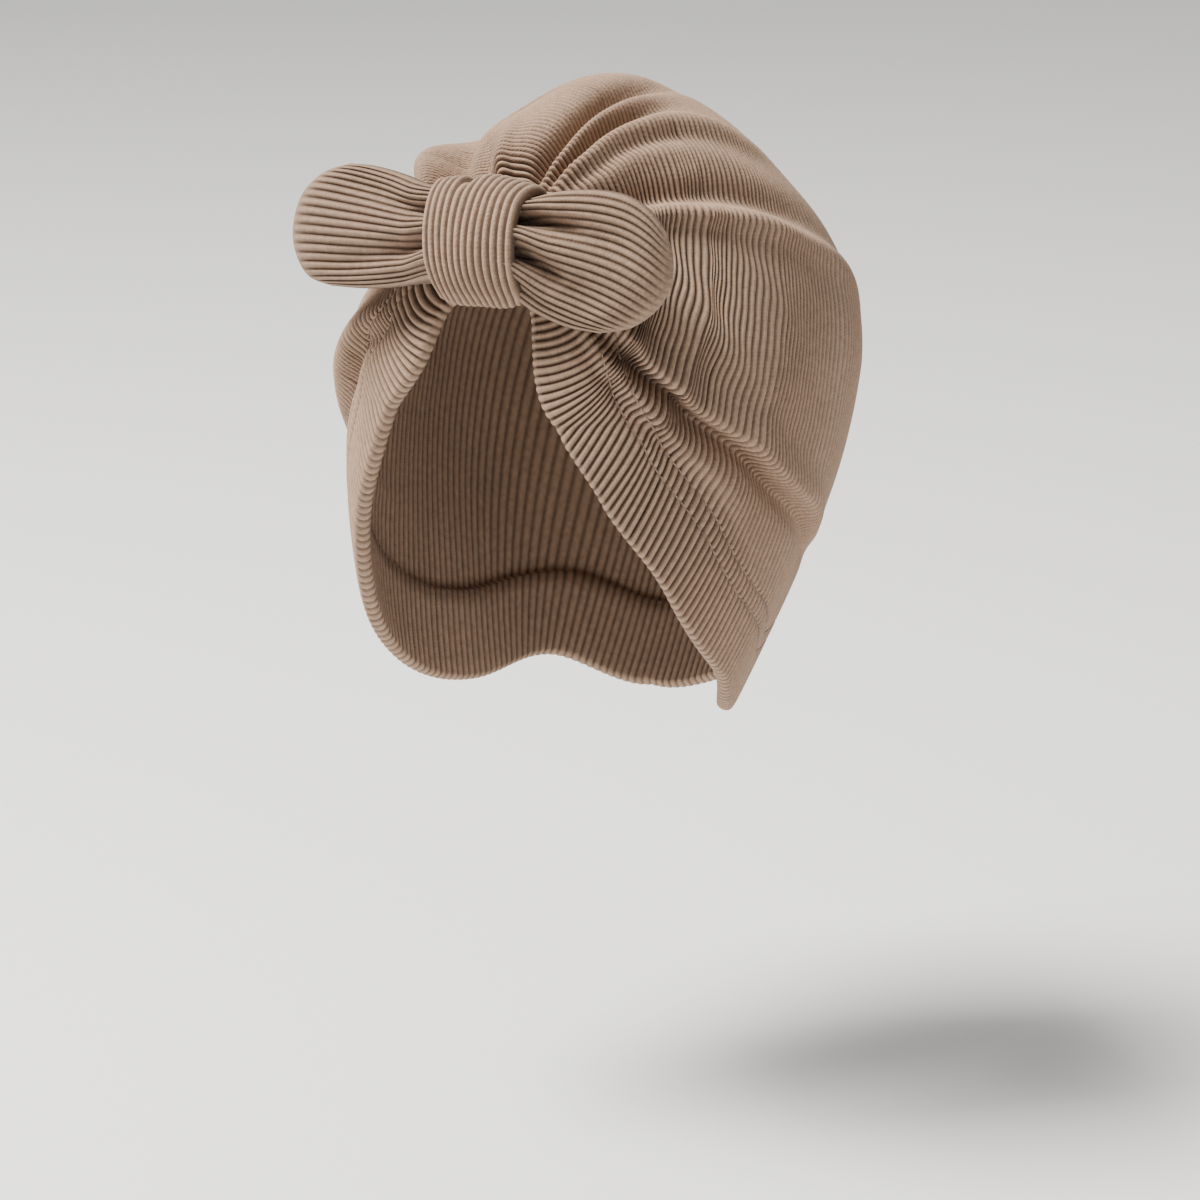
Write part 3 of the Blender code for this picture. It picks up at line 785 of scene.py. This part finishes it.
def outside_columns(lengths):
    """Shares along each rib for the outside, with columns on the stitch lines."""
    first = hem_share_of(STITCH_LINES[0], lengths)[:, None]
    second = hem_share_of(STITCH_LINES[1], lengths)[:, None]
    margin = (STITCH_MARGIN * PUCKER_WIDTH / lengths)[:, None]
    plain = np.linspace(0, 1, HEM_COLUMNS)[None, :-1]
    close = np.linspace(0, 1, STITCH_COLUMNS)[None, :-1]
    spans = [
        (first - margin) * plain,
        first - margin + 2 * margin * close,
        first + margin + (second - first - 2 * margin) * close,
        second - margin + 2 * margin * close,
    ]
    rest = crowded_columns(SIDE_COLUMNS, COLUMN_CROWDING)[None]
    spans.append(second + margin + (0.5 - second - margin) * rest)
    side = np.concatenate(spans, axis=1)
    return np.concatenate([side, 1 - side[:, -2::-1]], axis=1)


def inside_columns(lengths):
    """Shares along each rib for the inside, with the turned strip's raw edge."""
    edge = hem_share_of(TURNED_WIDTH, lengths)[:, None]
    step = (EDGE_STEP / lengths)[:, None]
    strip = (edge - step) * np.linspace(0, 1, STRIP_COLUMNS)[None, :-1]
    corners = np.concatenate([edge - step, edge, edge + step], axis=1)
    rest = crowded_columns(INSIDE_COLUMNS, 2 * COLUMN_CROWDING)[None, 1:]
    side = np.concatenate([strip, corners, edge + step + (0.5 - edge - step) * rest], axis=1)
    return np.concatenate([side, 1 - side[:, -2::-1]], axis=1)


print(outside_columns(np.array([middle_rib])).shape[1], "points over the outside of a rib")

# %% [markdown]
# The outside carries the folds, the waves and the ribs. The inside is smoother,
# as cloth is at the back of a fold. If it were the outside moved inwards it
# would cut through itself under a sharp overhang, so it starts again from the
# unfolded cloth and keeps clear below every crease.

# %% Outside, inside and rim
# Thicknesses in millimetres, and spans as shares of the way from knot to seam
CLOTH = 1.8
TURNED_CLOTH = 1.5
KNOT_CALM = (0.04, 0.12)
SEAM_CALM = (0.9, 0.99)
RIB_MIDDLE = 0.55
PUCKER_LOSS = 0.6
PUCKER_DEPTH = 0.35
CREASE_ROOM = 1.25
RIDGE_SHARE = 0.3
LEAN_ROOM = 0.6
INSIDE_RIBS = 0.4
RIM_STEPS = 7
RIM_REACH = 1.3
RIM_RELIEF = 0.22


def outside_skin(share, columns, number):
    """The ribbed outside of the cloth, its way along the ribs and their strength."""
    points, outward, along, across, lengths = folded_cloth(share, columns)
    waves = rib_waves(share, columns, lengths) * smooth_step(share, *KNOT_CALM)[:, None]
    waves = waves * (1 - smooth_step(share, *SEAM_CALM))[:, None]
    points = points + across * waves[..., None]
    pucker = stitch_pucker(columns, lengths)
    strength = rib_strength(share, columns, lengths)
    relief = (rib_profile(number)[:, None] - RIB_MIDDLE) * RIB_HEIGHT * strength
    relief = relief * (1 - PUCKER_LOSS * pucker) - PUCKER_DEPTH * pucker
    return points + outward * relief[..., None], along, strength


def inside_skin(share, columns, number):
    """The inside of the cloth, smoother than its outside and thicker at the turned rim."""
    points, lengths = smooth_cloth(share, columns)
    outward = cloth_directions(points)[0]
    height, lean = fold_relief(share, columns, lengths)
    under = CREASE_ROOM * np.minimum(height, 0) + RIDGE_SHARE * np.maximum(height, 0)
    under -= LEAN_ROOM * np.abs(lean)
    edge = hem_share_of(TURNED_WIDTH, lengths)[:, None]
    from_rim = np.minimum(columns, 1 - columns)
    turned = 1 - smooth_step((from_rim - edge) * lengths[:, None], -EDGE_STEP, EDGE_STEP)
    depth = CLOTH + turned * (TURNED_GAP + TURNED_CLOTH)
    ribs = INSIDE_RIBS * RIB_HEIGHT * (rib_profile(number)[:, None] - 0.5)
    return points + outward * (under - depth - ribs)[..., None]


def rim_points(outer, inner, away, number):
    """Rounded rim from an outer edge to an inner one, with the ribs going round."""
    middle = (outer + inner) / 2
    half = (outer - inner) / 2
    relief = 1 + RIM_RELIEF * (rib_profile(number) - 0.5)
    turns = np.linspace(0, math.pi, RIM_STEPS + 2)[1:-1]
    reach = away * RIM_REACH * relief[:, None]
    return np.stack([middle + half * math.cos(a) + reach * math.sin(a) for a in turns], 1)


print("the rim is", CLOTH + TURNED_GAP + TURNED_CLOTH, "mm thick")

# %% [markdown]
# More than half a million triangles in one piece would be slow to handle, so
# the cloth is made in three parts. They meet in the bottom of a groove, where
# the join shows least: up close it is a thin dark line. Each part starts as a
# few rows too many on both sides, so that its directions at the join are those
# of the whole cloth.

# %% Crown cloth
ROWS_PER_RIB = 6
SPARE_ROWS = 6
RIM_RUN = 0.7
INSIDE_START = 6.0
INSIDE_DEPTH = 0.7
PARTS = [("crown_cloth_front", 0, 34), ("crown_cloth_side", 34, 68), ("crown_cloth_back", 68, RIB_COUNT)]


def crown_ring_rows(first_rib, last_rib):
    """Rings of points round the cloth's section, one for each row."""
    first_row = max(first_rib * ROWS_PER_RIB - SPARE_ROWS, 0)
    last_row = min(last_rib * ROWS_PER_RIB + SPARE_ROWS, RIB_COUNT * ROWS_PER_RIB)
    number = np.arange(first_row, last_row + 1) / ROWS_PER_RIB
    rows = len(number)
    share = number / RIB_COUNT
    lengths = smooth_cloth(share, np.full((rows, 1), 0.5))[1]
    outer_columns = outside_columns(lengths)
    inner_columns = inside_columns(lengths)
    outer, along, strength = outside_skin(share, outer_columns, number)
    inner = inside_skin(share, inner_columns, number)
    right_rim = rim_points(outer[:, -1], inner[:, -1], along[:, -1], number)
    left_rim = rim_points(outer[:, 0], inner[:, 0], -along[:, 0], number)
    rings = np.concatenate([outer, right_rim, inner[:, ::-1], left_rim[:, ::-1]], axis=1)
    beyond = (np.arange(RIM_STEPS) + 1) * RIM_RUN
    run = np.concatenate([
        outer_columns * lengths[:, None],
        lengths[:, None] + beyond[None],
        lengths[:, None] + INSIDE_START + (1 - inner_columns[:, ::-1]) * lengths[:, None],
        -beyond[None, ::-1] + 0 * lengths[:, None],
    ], axis=1)
    place = np.stack([np.repeat(number[:, None], rings.shape[1], 1), run], -1)
    depth = np.full(rings.shape[:2], INSIDE_DEPTH)
    depth[:, :outer_columns.shape[1]] = strength
    kept = (number >= first_rib) & (number <= last_rib)
    return rings[kept], place[kept], depth[kept], outer_columns.shape[1], inner_columns.shape[1]


def make_crown_part(name, first_rib, last_rib):
    """One part of the crown's cloth, as a closed sheet."""
    rings, place, depth, outside, inside = crown_ring_rows(first_rib, last_rib)
    rows, around = rings.shape[:2]
    corner = np.arange(rows * around).reshape(rows, around)
    # At the seam and behind the knot each point is joined to its mirror image
    partner = np.concatenate([
        np.arange(outside)[::-1],
        outside + RIM_STEPS + inside + np.arange(RIM_STEPS)[::-1],
        outside + RIM_STEPS + np.arange(inside)[::-1],
        outside + np.arange(RIM_STEPS)[::-1],
    ])
    seam_rows = [row for row, rib in ((0, first_rib), (rows - 1, last_rib)) if rib in (0, RIB_COUNT)]
    for row in seam_rows:
        corner[row] = np.minimum(corner[row], corner[row][partner])
        rings[row, :, 0] = 0.0
    closed = np.concatenate([corner, corner[:, :1]], axis=1)
    caps = [cap_triangles(corner[row], rings[row], row == 0)
            for row in (0, rows - 1) if row not in seam_rows]
    triangles = np.concatenate(caps) if caps else np.zeros((0, 3), int)
    points = rings.reshape(-1, 3)
    return mesh_piece(name, points, grid_quads(closed), triangles, place.reshape(-1, 2), CROWN_KNIT,
                      depth.ravel(), flat_triangles=True)


def cap_triangles(ring, outline, at_start):
    """Faces that close the cloth's section where two parts meet."""
    triangles = np.array(tessellate_polygon([[Vector(point) for point in outline]]))
    section_way = np.cross(outline, np.roll(outline, -1, axis=0)).sum(axis=0)
    first, second, third = (outline[triangles[:, side]] for side in range(3))
    with_ring = np.cross(second - first, third - first).sum(axis=0) @ section_way > 0
    return ring[triangles if with_ring == at_start else triangles[:, ::-1]]


crown_parts = [make_crown_part(*part) for part in PARTS]

# %% [markdown]
# ## Two rows of stitches
#
# The rim is sewn with a twin needle. On the outside that leaves two rows of
# short straight stitches. Each is a thin thread that lies over the ribs and
# dips into the cloth at both ends. All of them are one mesh, because nobody
# handles a single stitch.

# %% Rim stitches
STITCH_PITCH = 2.9
STITCH_LENGTH = 2.1
STITCH_LIFT = 0.12
STITCH_END_DIP = 0.55
STITCHED_SPAN = (0.13, 0.965)
PATH_STEPS = 700
SIDE_STEP = 0.002
THREAD_RADIUS = 0.2
THREAD_SIDES = 6
THREAD_COLOUR = (0.30, 0.215, 0.163, 1.0)

# Share of a stitch's length, share of the thread's radius
THREAD_SECTIONS = [(0.0, 0.35), (0.12, 0.9), (0.5, 1.0), (0.88, 0.9), (1.0, 0.35)]


def stitch_path(distance, right_side):
    """The line of stitches at a distance in from the rim, with its outward way."""
    share = np.linspace(*STITCHED_SPAN, PATH_STEPS)
    lengths = smooth_cloth(share, np.full((len(share), 1), 0.5))[1]
    line = hem_share_of(distance, lengths)[:, None]
    columns = line + np.array([[-SIDE_STEP, 0.0, SIDE_STEP]])
    if right_side:
        columns = 1 - columns[:, ::-1]
    points, outward, _along, _across, _lengths = folded_cloth(share, columns)
    return points[:, 1], outward[:, 1]


def thread_rings(start, way, outward):
    """Rings of points of one stitch, thin at both ends."""
    side = np.cross(way, outward)
    angles = np.arange(THREAD_SIDES) * (2 * math.pi / THREAD_SIDES)
    circle = np.cos(angles)[:, None] * outward + np.sin(angles)[:, None] * side
    rings = []
    for along, thin in THREAD_SECTIONS:
        lift = STITCH_LIFT - STITCH_END_DIP * (2 * along - 1) ** 4
        middle = start + way * STITCH_LENGTH * along + outward * lift
        rings.append(middle + THREAD_RADIUS * thin * circle)
    return np.array(rings)


def make_stitches(material):
    """Every stitch of the rim in one mesh."""
    blocks = []
    for distance in STITCH_LINES:
        for right_side in (False, True):
            points, outward = stitch_path(distance, right_side)
            run = np.concatenate([[0], np.cumsum(np.linalg.norm(np.diff(points, axis=0), axis=1))])
            for at in np.arange(0.0, run[-1] - STITCH_PITCH, STITCH_PITCH):
                start, end = (np.array([np.interp(at + reach, run, points[:, axis]) for axis in range(3)])
                              for reach in (0.0, STITCH_LENGTH))
                way = (end - start) / np.linalg.norm(end - start)
                up = outward[np.searchsorted(run, at)]
                blocks.append(thread_rings(start, way, up - way * (up @ way)))
    blocks = np.array(blocks)
    count, rings, sides = blocks.shape[:3]
    corner = np.arange(count * rings * sides).reshape(count, rings, sides)
    closed = np.concatenate([corner, corner[:, :, :1]], axis=2)
    quads = np.concatenate([grid_quads(one) for one in closed])
    ends = []
    for one in corner:
        for step in range(1, sides - 1):
            ends.append([one[0, 0], one[0, step], one[0, step + 1]])
            ends.append([one[-1, 0], one[-1, step + 1], one[-1, step]])
    place = np.zeros((count * rings * sides, 2))
    place[:, 0] = 0.5
    return mesh_piece("rim_stitches", blocks.reshape(-1, 3), quads, np.array(ends), place, material)


THREAD = knit_material("sewing_thread", crest=THREAD_COLOUR, loop_length=0.5, depth=0.05)
stitches = make_stitches(THREAD)

# %% [markdown]
# ## The knot
#
# The knot is a strip of the same knit, wrapped once round the bow and sewn
# behind it. Its ribs run up and over. Seen from the front, the strip bulges to
# the left in the middle and flares to the right at the top, where it comes from
# behind, so each place round the ring has its own left and right edge from a
# short table.

# %% Knot edges
KNOT_CENTRE = np.array([-2.0, -66.5, WIDEST_LEVEL + 46.0])
KNOT_TILT = 28.0
EDGE_SAMPLES = 2
EDGE_SMOOTHING = 61

# Degrees round from the front over the top, then the left and the right edge
KNOT_EDGES = [
    (-180.0, -11.0, 12.0),
    (-120.0, -10.0, 13.0),
    (-75.0, -9.4, 15.0),
    (-35.0, -12.3, 13.2),
    (0.0, -13.9, 12.2),
    (35.0, -15.0, 11.8),
    (70.0, -15.4, 13.2),
    (100.0, -15.0, 14.6),
    (140.0, -12.0, 13.0),
    (180.0, -11.0, 12.0),
]


def tilted_knot(offset_x, forward, up):
    """Places in space of offsets from the knot's middle, tilted back at the top."""
    tilt = math.radians(KNOT_TILT)
    back = up * np.sin(tilt) - forward * np.cos(tilt)
    rise = up * np.cos(tilt) + forward * np.sin(tilt)
    return KNOT_CENTRE + np.stack([offset_x, back, rise], -1)


def knot_edges(angle):
    """Left and right edges of the knot at each angle, from the smoothed table."""
    table = np.array(KNOT_EDGES)
    turn = 360 * EDGE_SAMPLES
    fine = np.linspace(-180, 180, turn + 1)
    three_turns = np.linspace(-540, 540, 3 * turn + 1)
    degrees = np.concatenate([table[:-1, 0] - 360, table[:-1, 0], table[:, 0] + 360])
    kernel = np.hanning(EDGE_SMOOTHING)
    kernel /= kernel.sum()
    edges = []
    for column in (1, 2):
        one_turn = table[:-1, column]
        line = np.interp(three_turns, degrees, np.concatenate([one_turn, one_turn, table[:, column]]))
        line = np.convolve(line, kernel, "same")[turn:2 * turn + 1]
        edges.append(np.interp(angle, fine, line))
    return edges


print("knot edges at the front:", [float(edge[0].round(1)) for edge in knot_edges(np.zeros(1))])

# %% [markdown]
# A plain band would look like a pipe. This one is barrelled across, rounded at
# both edges, tucked in at the top where the strip doubles over, and swells a
# little as cloth does when it is pulled tight by hand.

# %% Knot
# Sizes in millimetres, places across the band as shares, angles in degrees
KNOT_HALF_HEIGHT = 17.0
KNOT_HALF_DEPTH = 11.0
KNOT_MEAN_RADIUS = 14.0
KNOT_WALL = 3.0
KNOT_RIBS = 13
KNOT_RIB_HEIGHT = 1.15
KNOT_RIB_MIDDLE = 0.45
KNOT_AROUND = 200
KNOT_EDGE_ROUND = 1.4
KNOT_BARREL = 1.8
KNOT_BARREL_POWER = 2.2
KNOT_TUCK = 3.0
KNOT_TUCK_ACROSS = (0.36, 0.055)
KNOT_TUCK_AROUND = (80.0, 30.0)
KNOT_SWELL = 0.35
KNOT_SWELLS_AROUND = 3
KNOT_SWELL_ACROSS = 9.0
KNOT_INSIDE = np.linspace(0.93, 0.07, 12)


def knot_relief(angle, across, number, from_edge):
    """How far each point of the knot's outside stands off its plain ring."""
    rounding = 1 - np.clip(1 - from_edge / KNOT_EDGE_ROUND, 0, 1) ** 2
    edge_drop = -KNOT_EDGE_ROUND * (1 - np.sqrt(rounding))
    barrel = -KNOT_BARREL * np.abs(2 * across - 1)[None] ** KNOT_BARREL_POWER
    tuck = bell(across, *KNOT_TUCK_ACROSS)[None] * bell(angle, *KNOT_TUCK_AROUND)[:, None]
    swell_around = np.sin(np.radians(angle * KNOT_SWELLS_AROUND))[:, None]
    swell = KNOT_SWELL * swell_around * np.sin(KNOT_SWELL_ACROSS * across)[None]
    ribs = KNOT_RIB_HEIGHT * (rib_profile(number)[None] - KNOT_RIB_MIDDLE)
    return edge_drop + barrel + ribs - KNOT_TUCK * tuck + swell


def make_knot():
    """The ribbed band round the bow's middle."""
    angle = np.linspace(-180, 180, KNOT_AROUND + 1)[:-1]
    number = np.linspace(0, KNOT_RIBS, KNOT_RIBS * ROWS_PER_RIB + 1)
    across = number / KNOT_RIBS
    left, right = knot_edges(angle)
    turn = np.radians(angle)[:, None]
    place_x = left[:, None] + (right - left)[:, None] * across[None]
    from_edge = np.minimum(place_x - left[:, None], right[:, None] - place_x)
    out = knot_relief(angle, across, number, from_edge)
    outer = tilted_knot(place_x, (KNOT_HALF_DEPTH + out) * np.cos(turn),
                        (KNOT_HALF_HEIGHT + out) * np.sin(turn))
    inner_x = left[:, None] + (right - left)[:, None] * KNOT_INSIDE[None]
    inner = tilted_knot(inner_x, (KNOT_HALF_DEPTH - KNOT_WALL) * np.cos(turn) + 0 * inner_x,
                        (KNOT_HALF_HEIGHT - KNOT_WALL) * np.sin(turn) + 0 * inner_x)
    rings = np.concatenate([outer, inner], axis=1)
    rows, around = rings.shape[:2]
    corner = np.arange(rows * around).reshape(rows, around)
    closed = np.concatenate([corner, corner[:1]], axis=0)
    closed = np.concatenate([closed, closed[:, :1]], axis=1)
    run = np.radians(angle)[:, None] * KNOT_MEAN_RADIUS
    ribs = np.concatenate([number, np.full(len(KNOT_INSIDE), KNOT_RIBS + 0.5)])
    place = np.stack([np.repeat(ribs[None], rows, 0), np.repeat(run, around, 1)], -1)
    no_triangles = np.zeros((0, 3), int)
    return mesh_piece("knot_wrap", rings.reshape(-1, 3), grid_quads(closed)[:, ::-1], no_triangles,
                      place.reshape(-1, 2), KNOT_KNIT)


knot = make_knot()

# %% [markdown]
# ## The ears of the bow
#
# Each ear is a flat pouch of two layers. Its ribs start side by side in the
# knot and fan out to the pouch's sewn end. A patch between four edges does just
# that: the upper and lower edge, the pinched start and the rounded end.

# %% Ear outlines
# Outline of each ear, by the wearer's left and right: each point says how far
# it is outwards from the knot's middle and up, in the ear's own plane
EAR_EDGES = {
    "left": {
        "upper": [(-2.0, 11.0), (7.0, 11.0), (12.0, 11.8), (20.0, 14.0), (30.0, 14.8), (38.0, 13.6),
                  (44.0, 10.2), (48.6, 4.8)],
        "end": [(48.6, 4.8), (50.8, -2.0), (50.8, -9.0), (47.6, -15.2), (41.3, -20.0), (33.4, -21.8)],
        "lower": [(-2.0, -12.0), (7.0, -12.4), (11.5, -14.5), (18.0, -18.2), (25.3, -20.8), (33.4, -21.8)],
    },
    "right": {
        "upper": [(-2.0, 11.5), (9.0, 12.0), (17.0, 13.2), (25.0, 15.2), (34.7, 16.6), (42.8, 16.6)],
        "end": [(42.8, 16.6), (50.5, 13.6), (56.3, 8.0), (58.6, 1.0), (58.2, -5.5), (55.5, -11.0),
                (51.5, -14.4), (45.0, -15.8)],
        "lower": [(-2.0, -12.0), (9.0, -12.0), (17.0, -12.6), (25.0, -14.2), (34.2, -15.4), (45.0, -15.8)],
    },
}


def smooth_line(points, share, steps=300):
    """A smooth curve through points, read at even distances."""
    fine = through_rows(points, np.linspace(0, 1, steps))
    run = np.concatenate([[0], np.cumsum(np.linalg.norm(np.diff(fine, axis=0), axis=1))])
    return np.stack([np.interp(share * run[-1], run, fine[:, axis]) for axis in (0, 1)], -1)


def ear_patch(name, out_share, across):
    """Places in the ear's plane for shares outwards and across its ribs."""
    edges = EAR_EDGES[name]
    upper = smooth_line(edges["upper"], out_share)[:, None]
    lower = smooth_line(edges["lower"], out_share)[:, None]
    end = smooth_line(edges["end"][::-1], across)[None]
    start = (lower[0] + (upper[0] - lower[0]) * across[:, None])[None]
    u = out_share[:, None, None]
    v = across[None, :, None]
    sides = (1 - v) * lower + v * upper
    ends = (1 - u) * start + u * end
    corners = ((1 - u) * (1 - v) * lower[0] + (1 - u) * v * upper[0]
               + u * (1 - v) * lower[-1] + u * v * upper[-1])
    return sides + ends - corners


left_end = ear_patch("left", np.ones(1), np.linspace(0, 1, 9))
print("the left ear reaches", left_end[..., 0].max().round(1), "mm from the knot's middle")

# %% [markdown]
# The pleats that the knot presses into the cloth are creases. They start deep
# and narrow at the knot, spread out and die on the way to the end of the ear.

# %% Ear pleats
# Place across the ribs at the knot and far out (0 lower edge, 1 upper edge),
# depth at the knot, depth half way out, half width across at the knot and far out
PLEATS = {
    "left": [(0.755, 0.64, 9.5, 3.2, 0.060, 0.13), (0.43, 0.22, 10.0, 3.8, 0.065, 0.14),
             (0.13, 0.10, 3.0, 0.2, 0.040, 0.08)],
    "right": [(0.66, 0.90, 5.5, 3.2, 0.080, 0.13), (0.40, 0.18, 6.5, 3.4, 0.075, 0.15),
              (0.12, 0.10, 2.5, 0.2, 0.040, 0.08)],
}
PLEAT_REACH = 0.46
PLEAT_FADE = (0.45, 0.92)
PLEAT_POWER = 1.7
KNOT_SHARE = 0.22


def pleat_relief(name, out_share, across):
    """Depth of the pleats that the knot presses into an ear's front."""
    beyond = np.clip((out_share - KNOT_SHARE) / (1 - KNOT_SHARE), 0, 1)
    depth = np.zeros((len(out_share), len(across)))
    for at_knot, far_out, deep, half_way, narrow, wide in PLEATS[name]:
        line = at_knot + (far_out - at_knot) * beyond
        strength = deep * bell(beyond, 0.0, PLEAT_REACH)
        strength = np.maximum(strength, half_way * (1 - smooth_step(beyond, *PLEAT_FADE)))
        off = (across[None] - line[:, None]) / (narrow + (wide - narrow) * beyond)[:, None]
        depth += strength[:, None] * np.exp(-np.abs(off) ** PLEAT_POWER)
    return depth


print("pleats:", {name: len(pleats) for name, pleats in PLEATS.items()})

# %% [markdown]
# Two layers, moved apart by the ear's fullness and closed round the edge, make
# the pouch. The back layer is flatter than the front one and has no pleats,
# since it lies against the crown. The ears lean back less than the knot does,
# and sweep back a little towards their ends.

# %% Bow ears
EAR_SIDE = {"left": 1, "right": -1}
EAR_RIBS = 19
EAR_COLUMNS = 96
EAR_COLUMN_POWER = 1.35
EAR_RIB_HEIGHT = 1.0
EAR_SECTION_POWER = 2.6
EAR_EDGE_SPAN = 0.5
EAR_BACK_SHARE = 0.8
EAR_TILT = 13.0
EAR_TILT_SPAN = (10.0, 22.0)
EAR_SWEEP = 8.0
EAR_NECK = 10.0

# Share of the ear's way out, half thickness of the front layer
EAR_FULLNESS = [(0.0, 8.2), (0.20, 8.8), (0.35, 8.6), (0.55, 7.6), (0.75, 6.2), (0.90, 5.2), (1.0, 4.6)]
EAR_END_ROUND = 0.17
EAR_END_THINNING = 0.94
EAR_END_PLAIN = 0.95


def ear_in_space(name, flat, front):
    """Points of the ear's plane in space, with a distance to the front."""
    side = EAR_SIDE[name]
    beyond = np.maximum(flat[..., 0] - EAR_NECK, 0.0)
    sweep = math.tan(math.radians(EAR_SWEEP)) * beyond
    tilt = np.radians(KNOT_TILT + (EAR_TILT - KNOT_TILT) * smooth_step(flat[..., 0], *EAR_TILT_SPAN))
    back = flat[..., 1] * np.sin(tilt) - front * np.cos(tilt) + sweep
    rise = flat[..., 1] * np.cos(tilt) + front * np.sin(tilt)
    return KNOT_CENTRE + np.stack([side * flat[..., 0], back, rise], -1)


def make_ear(name):
    """One ear of the bow, a closed pouch of two ribbed layers."""
    out_share = 1 - (1 - np.linspace(0, 1, EAR_COLUMNS)) ** EAR_COLUMN_POWER
    number = np.linspace(0, EAR_RIBS, EAR_RIBS * ROWS_PER_RIB + 1)
    across = number / EAR_RIBS
    flat = ear_patch(name, out_share, across)
    fullness = np.interp(out_share, *np.array(EAR_FULLNESS).T)[:, None]
    at_end = np.clip((out_share - 1 + EAR_END_ROUND) / EAR_END_ROUND, 0, 1)
    fullness = fullness * np.sqrt(1 - EAR_END_THINNING * at_end ** 2)[:, None]
    roundness = np.sqrt(np.clip(1 - np.abs(2 * across - 1) ** EAR_SECTION_POWER, 0, 1))[None]
    ribbed = 1 - EAR_END_PLAIN * at_end[:, None] ** 4
    relief = EAR_RIB_HEIGHT * (rib_profile(number)[None] - 0.5) * ribbed
    edge = smooth_step(roundness, 0.0, EAR_EDGE_SPAN)
    front = fullness * roundness + (relief - pleat_relief(name, out_share, across)) * edge
    back = -EAR_BACK_SHARE * (fullness * roundness + relief * edge)
    skins = ear_in_space(name, flat, front), ear_in_space(name, flat, back)
    rings = np.concatenate([skins[0], skins[1][:, -2:0:-1]], axis=1)
    rows, around = rings.shape[:2]
    corner = np.arange(rows * around).reshape(rows, around)
    closed = np.concatenate([corner, corner[:, :1]], axis=1)
    quads = grid_quads(closed)
    half = len(across)
    ends = []
    for row in (0, rows - 1):
        opposite = np.concatenate([[corner[row, 0]], corner[row, half:][::-1], [corner[row, half - 1]]])
        cap = zipped(corner[row, :half], opposite, across, across)
        ends.append(cap[:, ::-1] if row == 0 else cap)
    triangles = np.concatenate(ends)
    triangles = triangles[[len(set(three)) == 3 for three in triangles.tolist()]]
    if EAR_SIDE[name] < 0:
        quads = quads[:, ::-1]
        triangles = triangles[:, ::-1]
    ribs = np.concatenate([number, number[-2:0:-1]])
    run = flat[..., 0]
    runs = np.concatenate([run, run[:, -2:0:-1]], axis=1)
    place = np.stack([np.repeat(ribs[None], rows, 0), runs], -1)
    depth = np.repeat(ribbed, around, 1)
    return mesh_piece("bow_ear_" + name, rings.reshape(-1, 3), quads, triangles,
                      place.reshape(-1, 2), BOW_KNIT, depth.ravel())


ears = [make_ear(name) for name in EAR_EDGES]

# %% [markdown]
# ## Floor and light
#
# A studio picture of a small thing has a pale plain floor under it and large soft
# lights, so shadows have no hard edge. The key light hangs high at the hat's
# right front, a very weak one fills the shade at its left, and the pale world
# lights all sides evenly. The hat floats at the height at which it is worn.

# %% Studio
FLOOR_LEVEL = -110.0
FLOOR_SIZE = 40000.0
FLOOR_COLOUR = (0.95, 0.945, 0.94, 1.0)
FLOOR_ROUGHNESS = 0.85
WORLD_COLOUR = (1.0, 0.99, 0.98, 1.0)
WORLD_STRENGTH = 0.45
LIGHT_AIM = np.array([0.0, 0.0, 90.0])

# Name, place and side length in millimetres, power in watts, colour
LIGHTS = [
    ("key", (-800, -600, 1850), 900, 118.0, (1.0, 0.98, 0.95)),
    ("fill", (1300, -900, 500), 1100, 1.0, (0.97, 0.98, 1.0)),
]


def make_floor():
    """A pale plain floor below the hat."""
    half = FLOOR_SIZE / 2 * MM
    mesh = bpy.data.meshes.new("floor")
    corners = [(-half, -half, 0), (half, -half, 0), (half, half, 0), (-half, half, 0)]
    mesh.from_pydata(corners, [], [(0, 1, 2, 3)])
    floor = bpy.data.objects.new("floor", mesh)
    floor.location.z = FLOOR_LEVEL * MM
    bpy.context.scene.collection.objects.link(floor)
    material = bpy.data.materials.new("pale_floor")
    material.use_nodes = True
    shader = material.node_tree.nodes["Principled BSDF"]
    shader.inputs["Base Color"].default_value = FLOOR_COLOUR
    shader.inputs["Roughness"].default_value = FLOOR_ROUGHNESS
    mesh.materials.append(material)
    return floor


def make_light(name, place, size, power, colour):
    """A soft square light at a place in millimetres, aimed at the hat."""
    data = bpy.data.lights.new(name, "AREA")
    data.shape = "SQUARE"
    data.size = size * MM
    data.energy = power
    data.color = colour
    light = bpy.data.objects.new(name, data)
    spot = np.array(place) * MM
    aim = LIGHT_AIM * MM - spot
    flat = math.hypot(aim[0], aim[1])
    light.location = spot
    light.rotation_euler = (math.pi / 2 + math.atan2(aim[2], flat), 0.0, math.atan2(-aim[0], aim[1]))
    bpy.context.scene.collection.objects.link(light)
    return light


def make_world():
    """An even pale surrounding light."""
    world = bpy.data.worlds.new("studio")
    world.use_nodes = True
    background = world.node_tree.nodes["Background"]
    background.inputs["Color"].default_value = WORLD_COLOUR
    background.inputs["Strength"].default_value = WORLD_STRENGTH
    bpy.context.scene.world = world


floor = make_floor()
make_world()
lights = [make_light(*light) for light in LIGHTS]
print("floor and", len(lights), "lights")

# %% [markdown]
# ## Which piece stands for which solid
#
# The solids stay in the model for collisions, but the dressed pieces hide them.

for part in crown_parts:
    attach(part, "root")
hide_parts("crown", "turned_hem")
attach(stitches, "root")
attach(knot, "root")
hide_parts("knot_band")
for ear in ears:
    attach(ear, "root")
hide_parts("bow")
print("declared:", ", ".join(piece.name for piece in (*crown_parts, stitches, knot, *ears)))
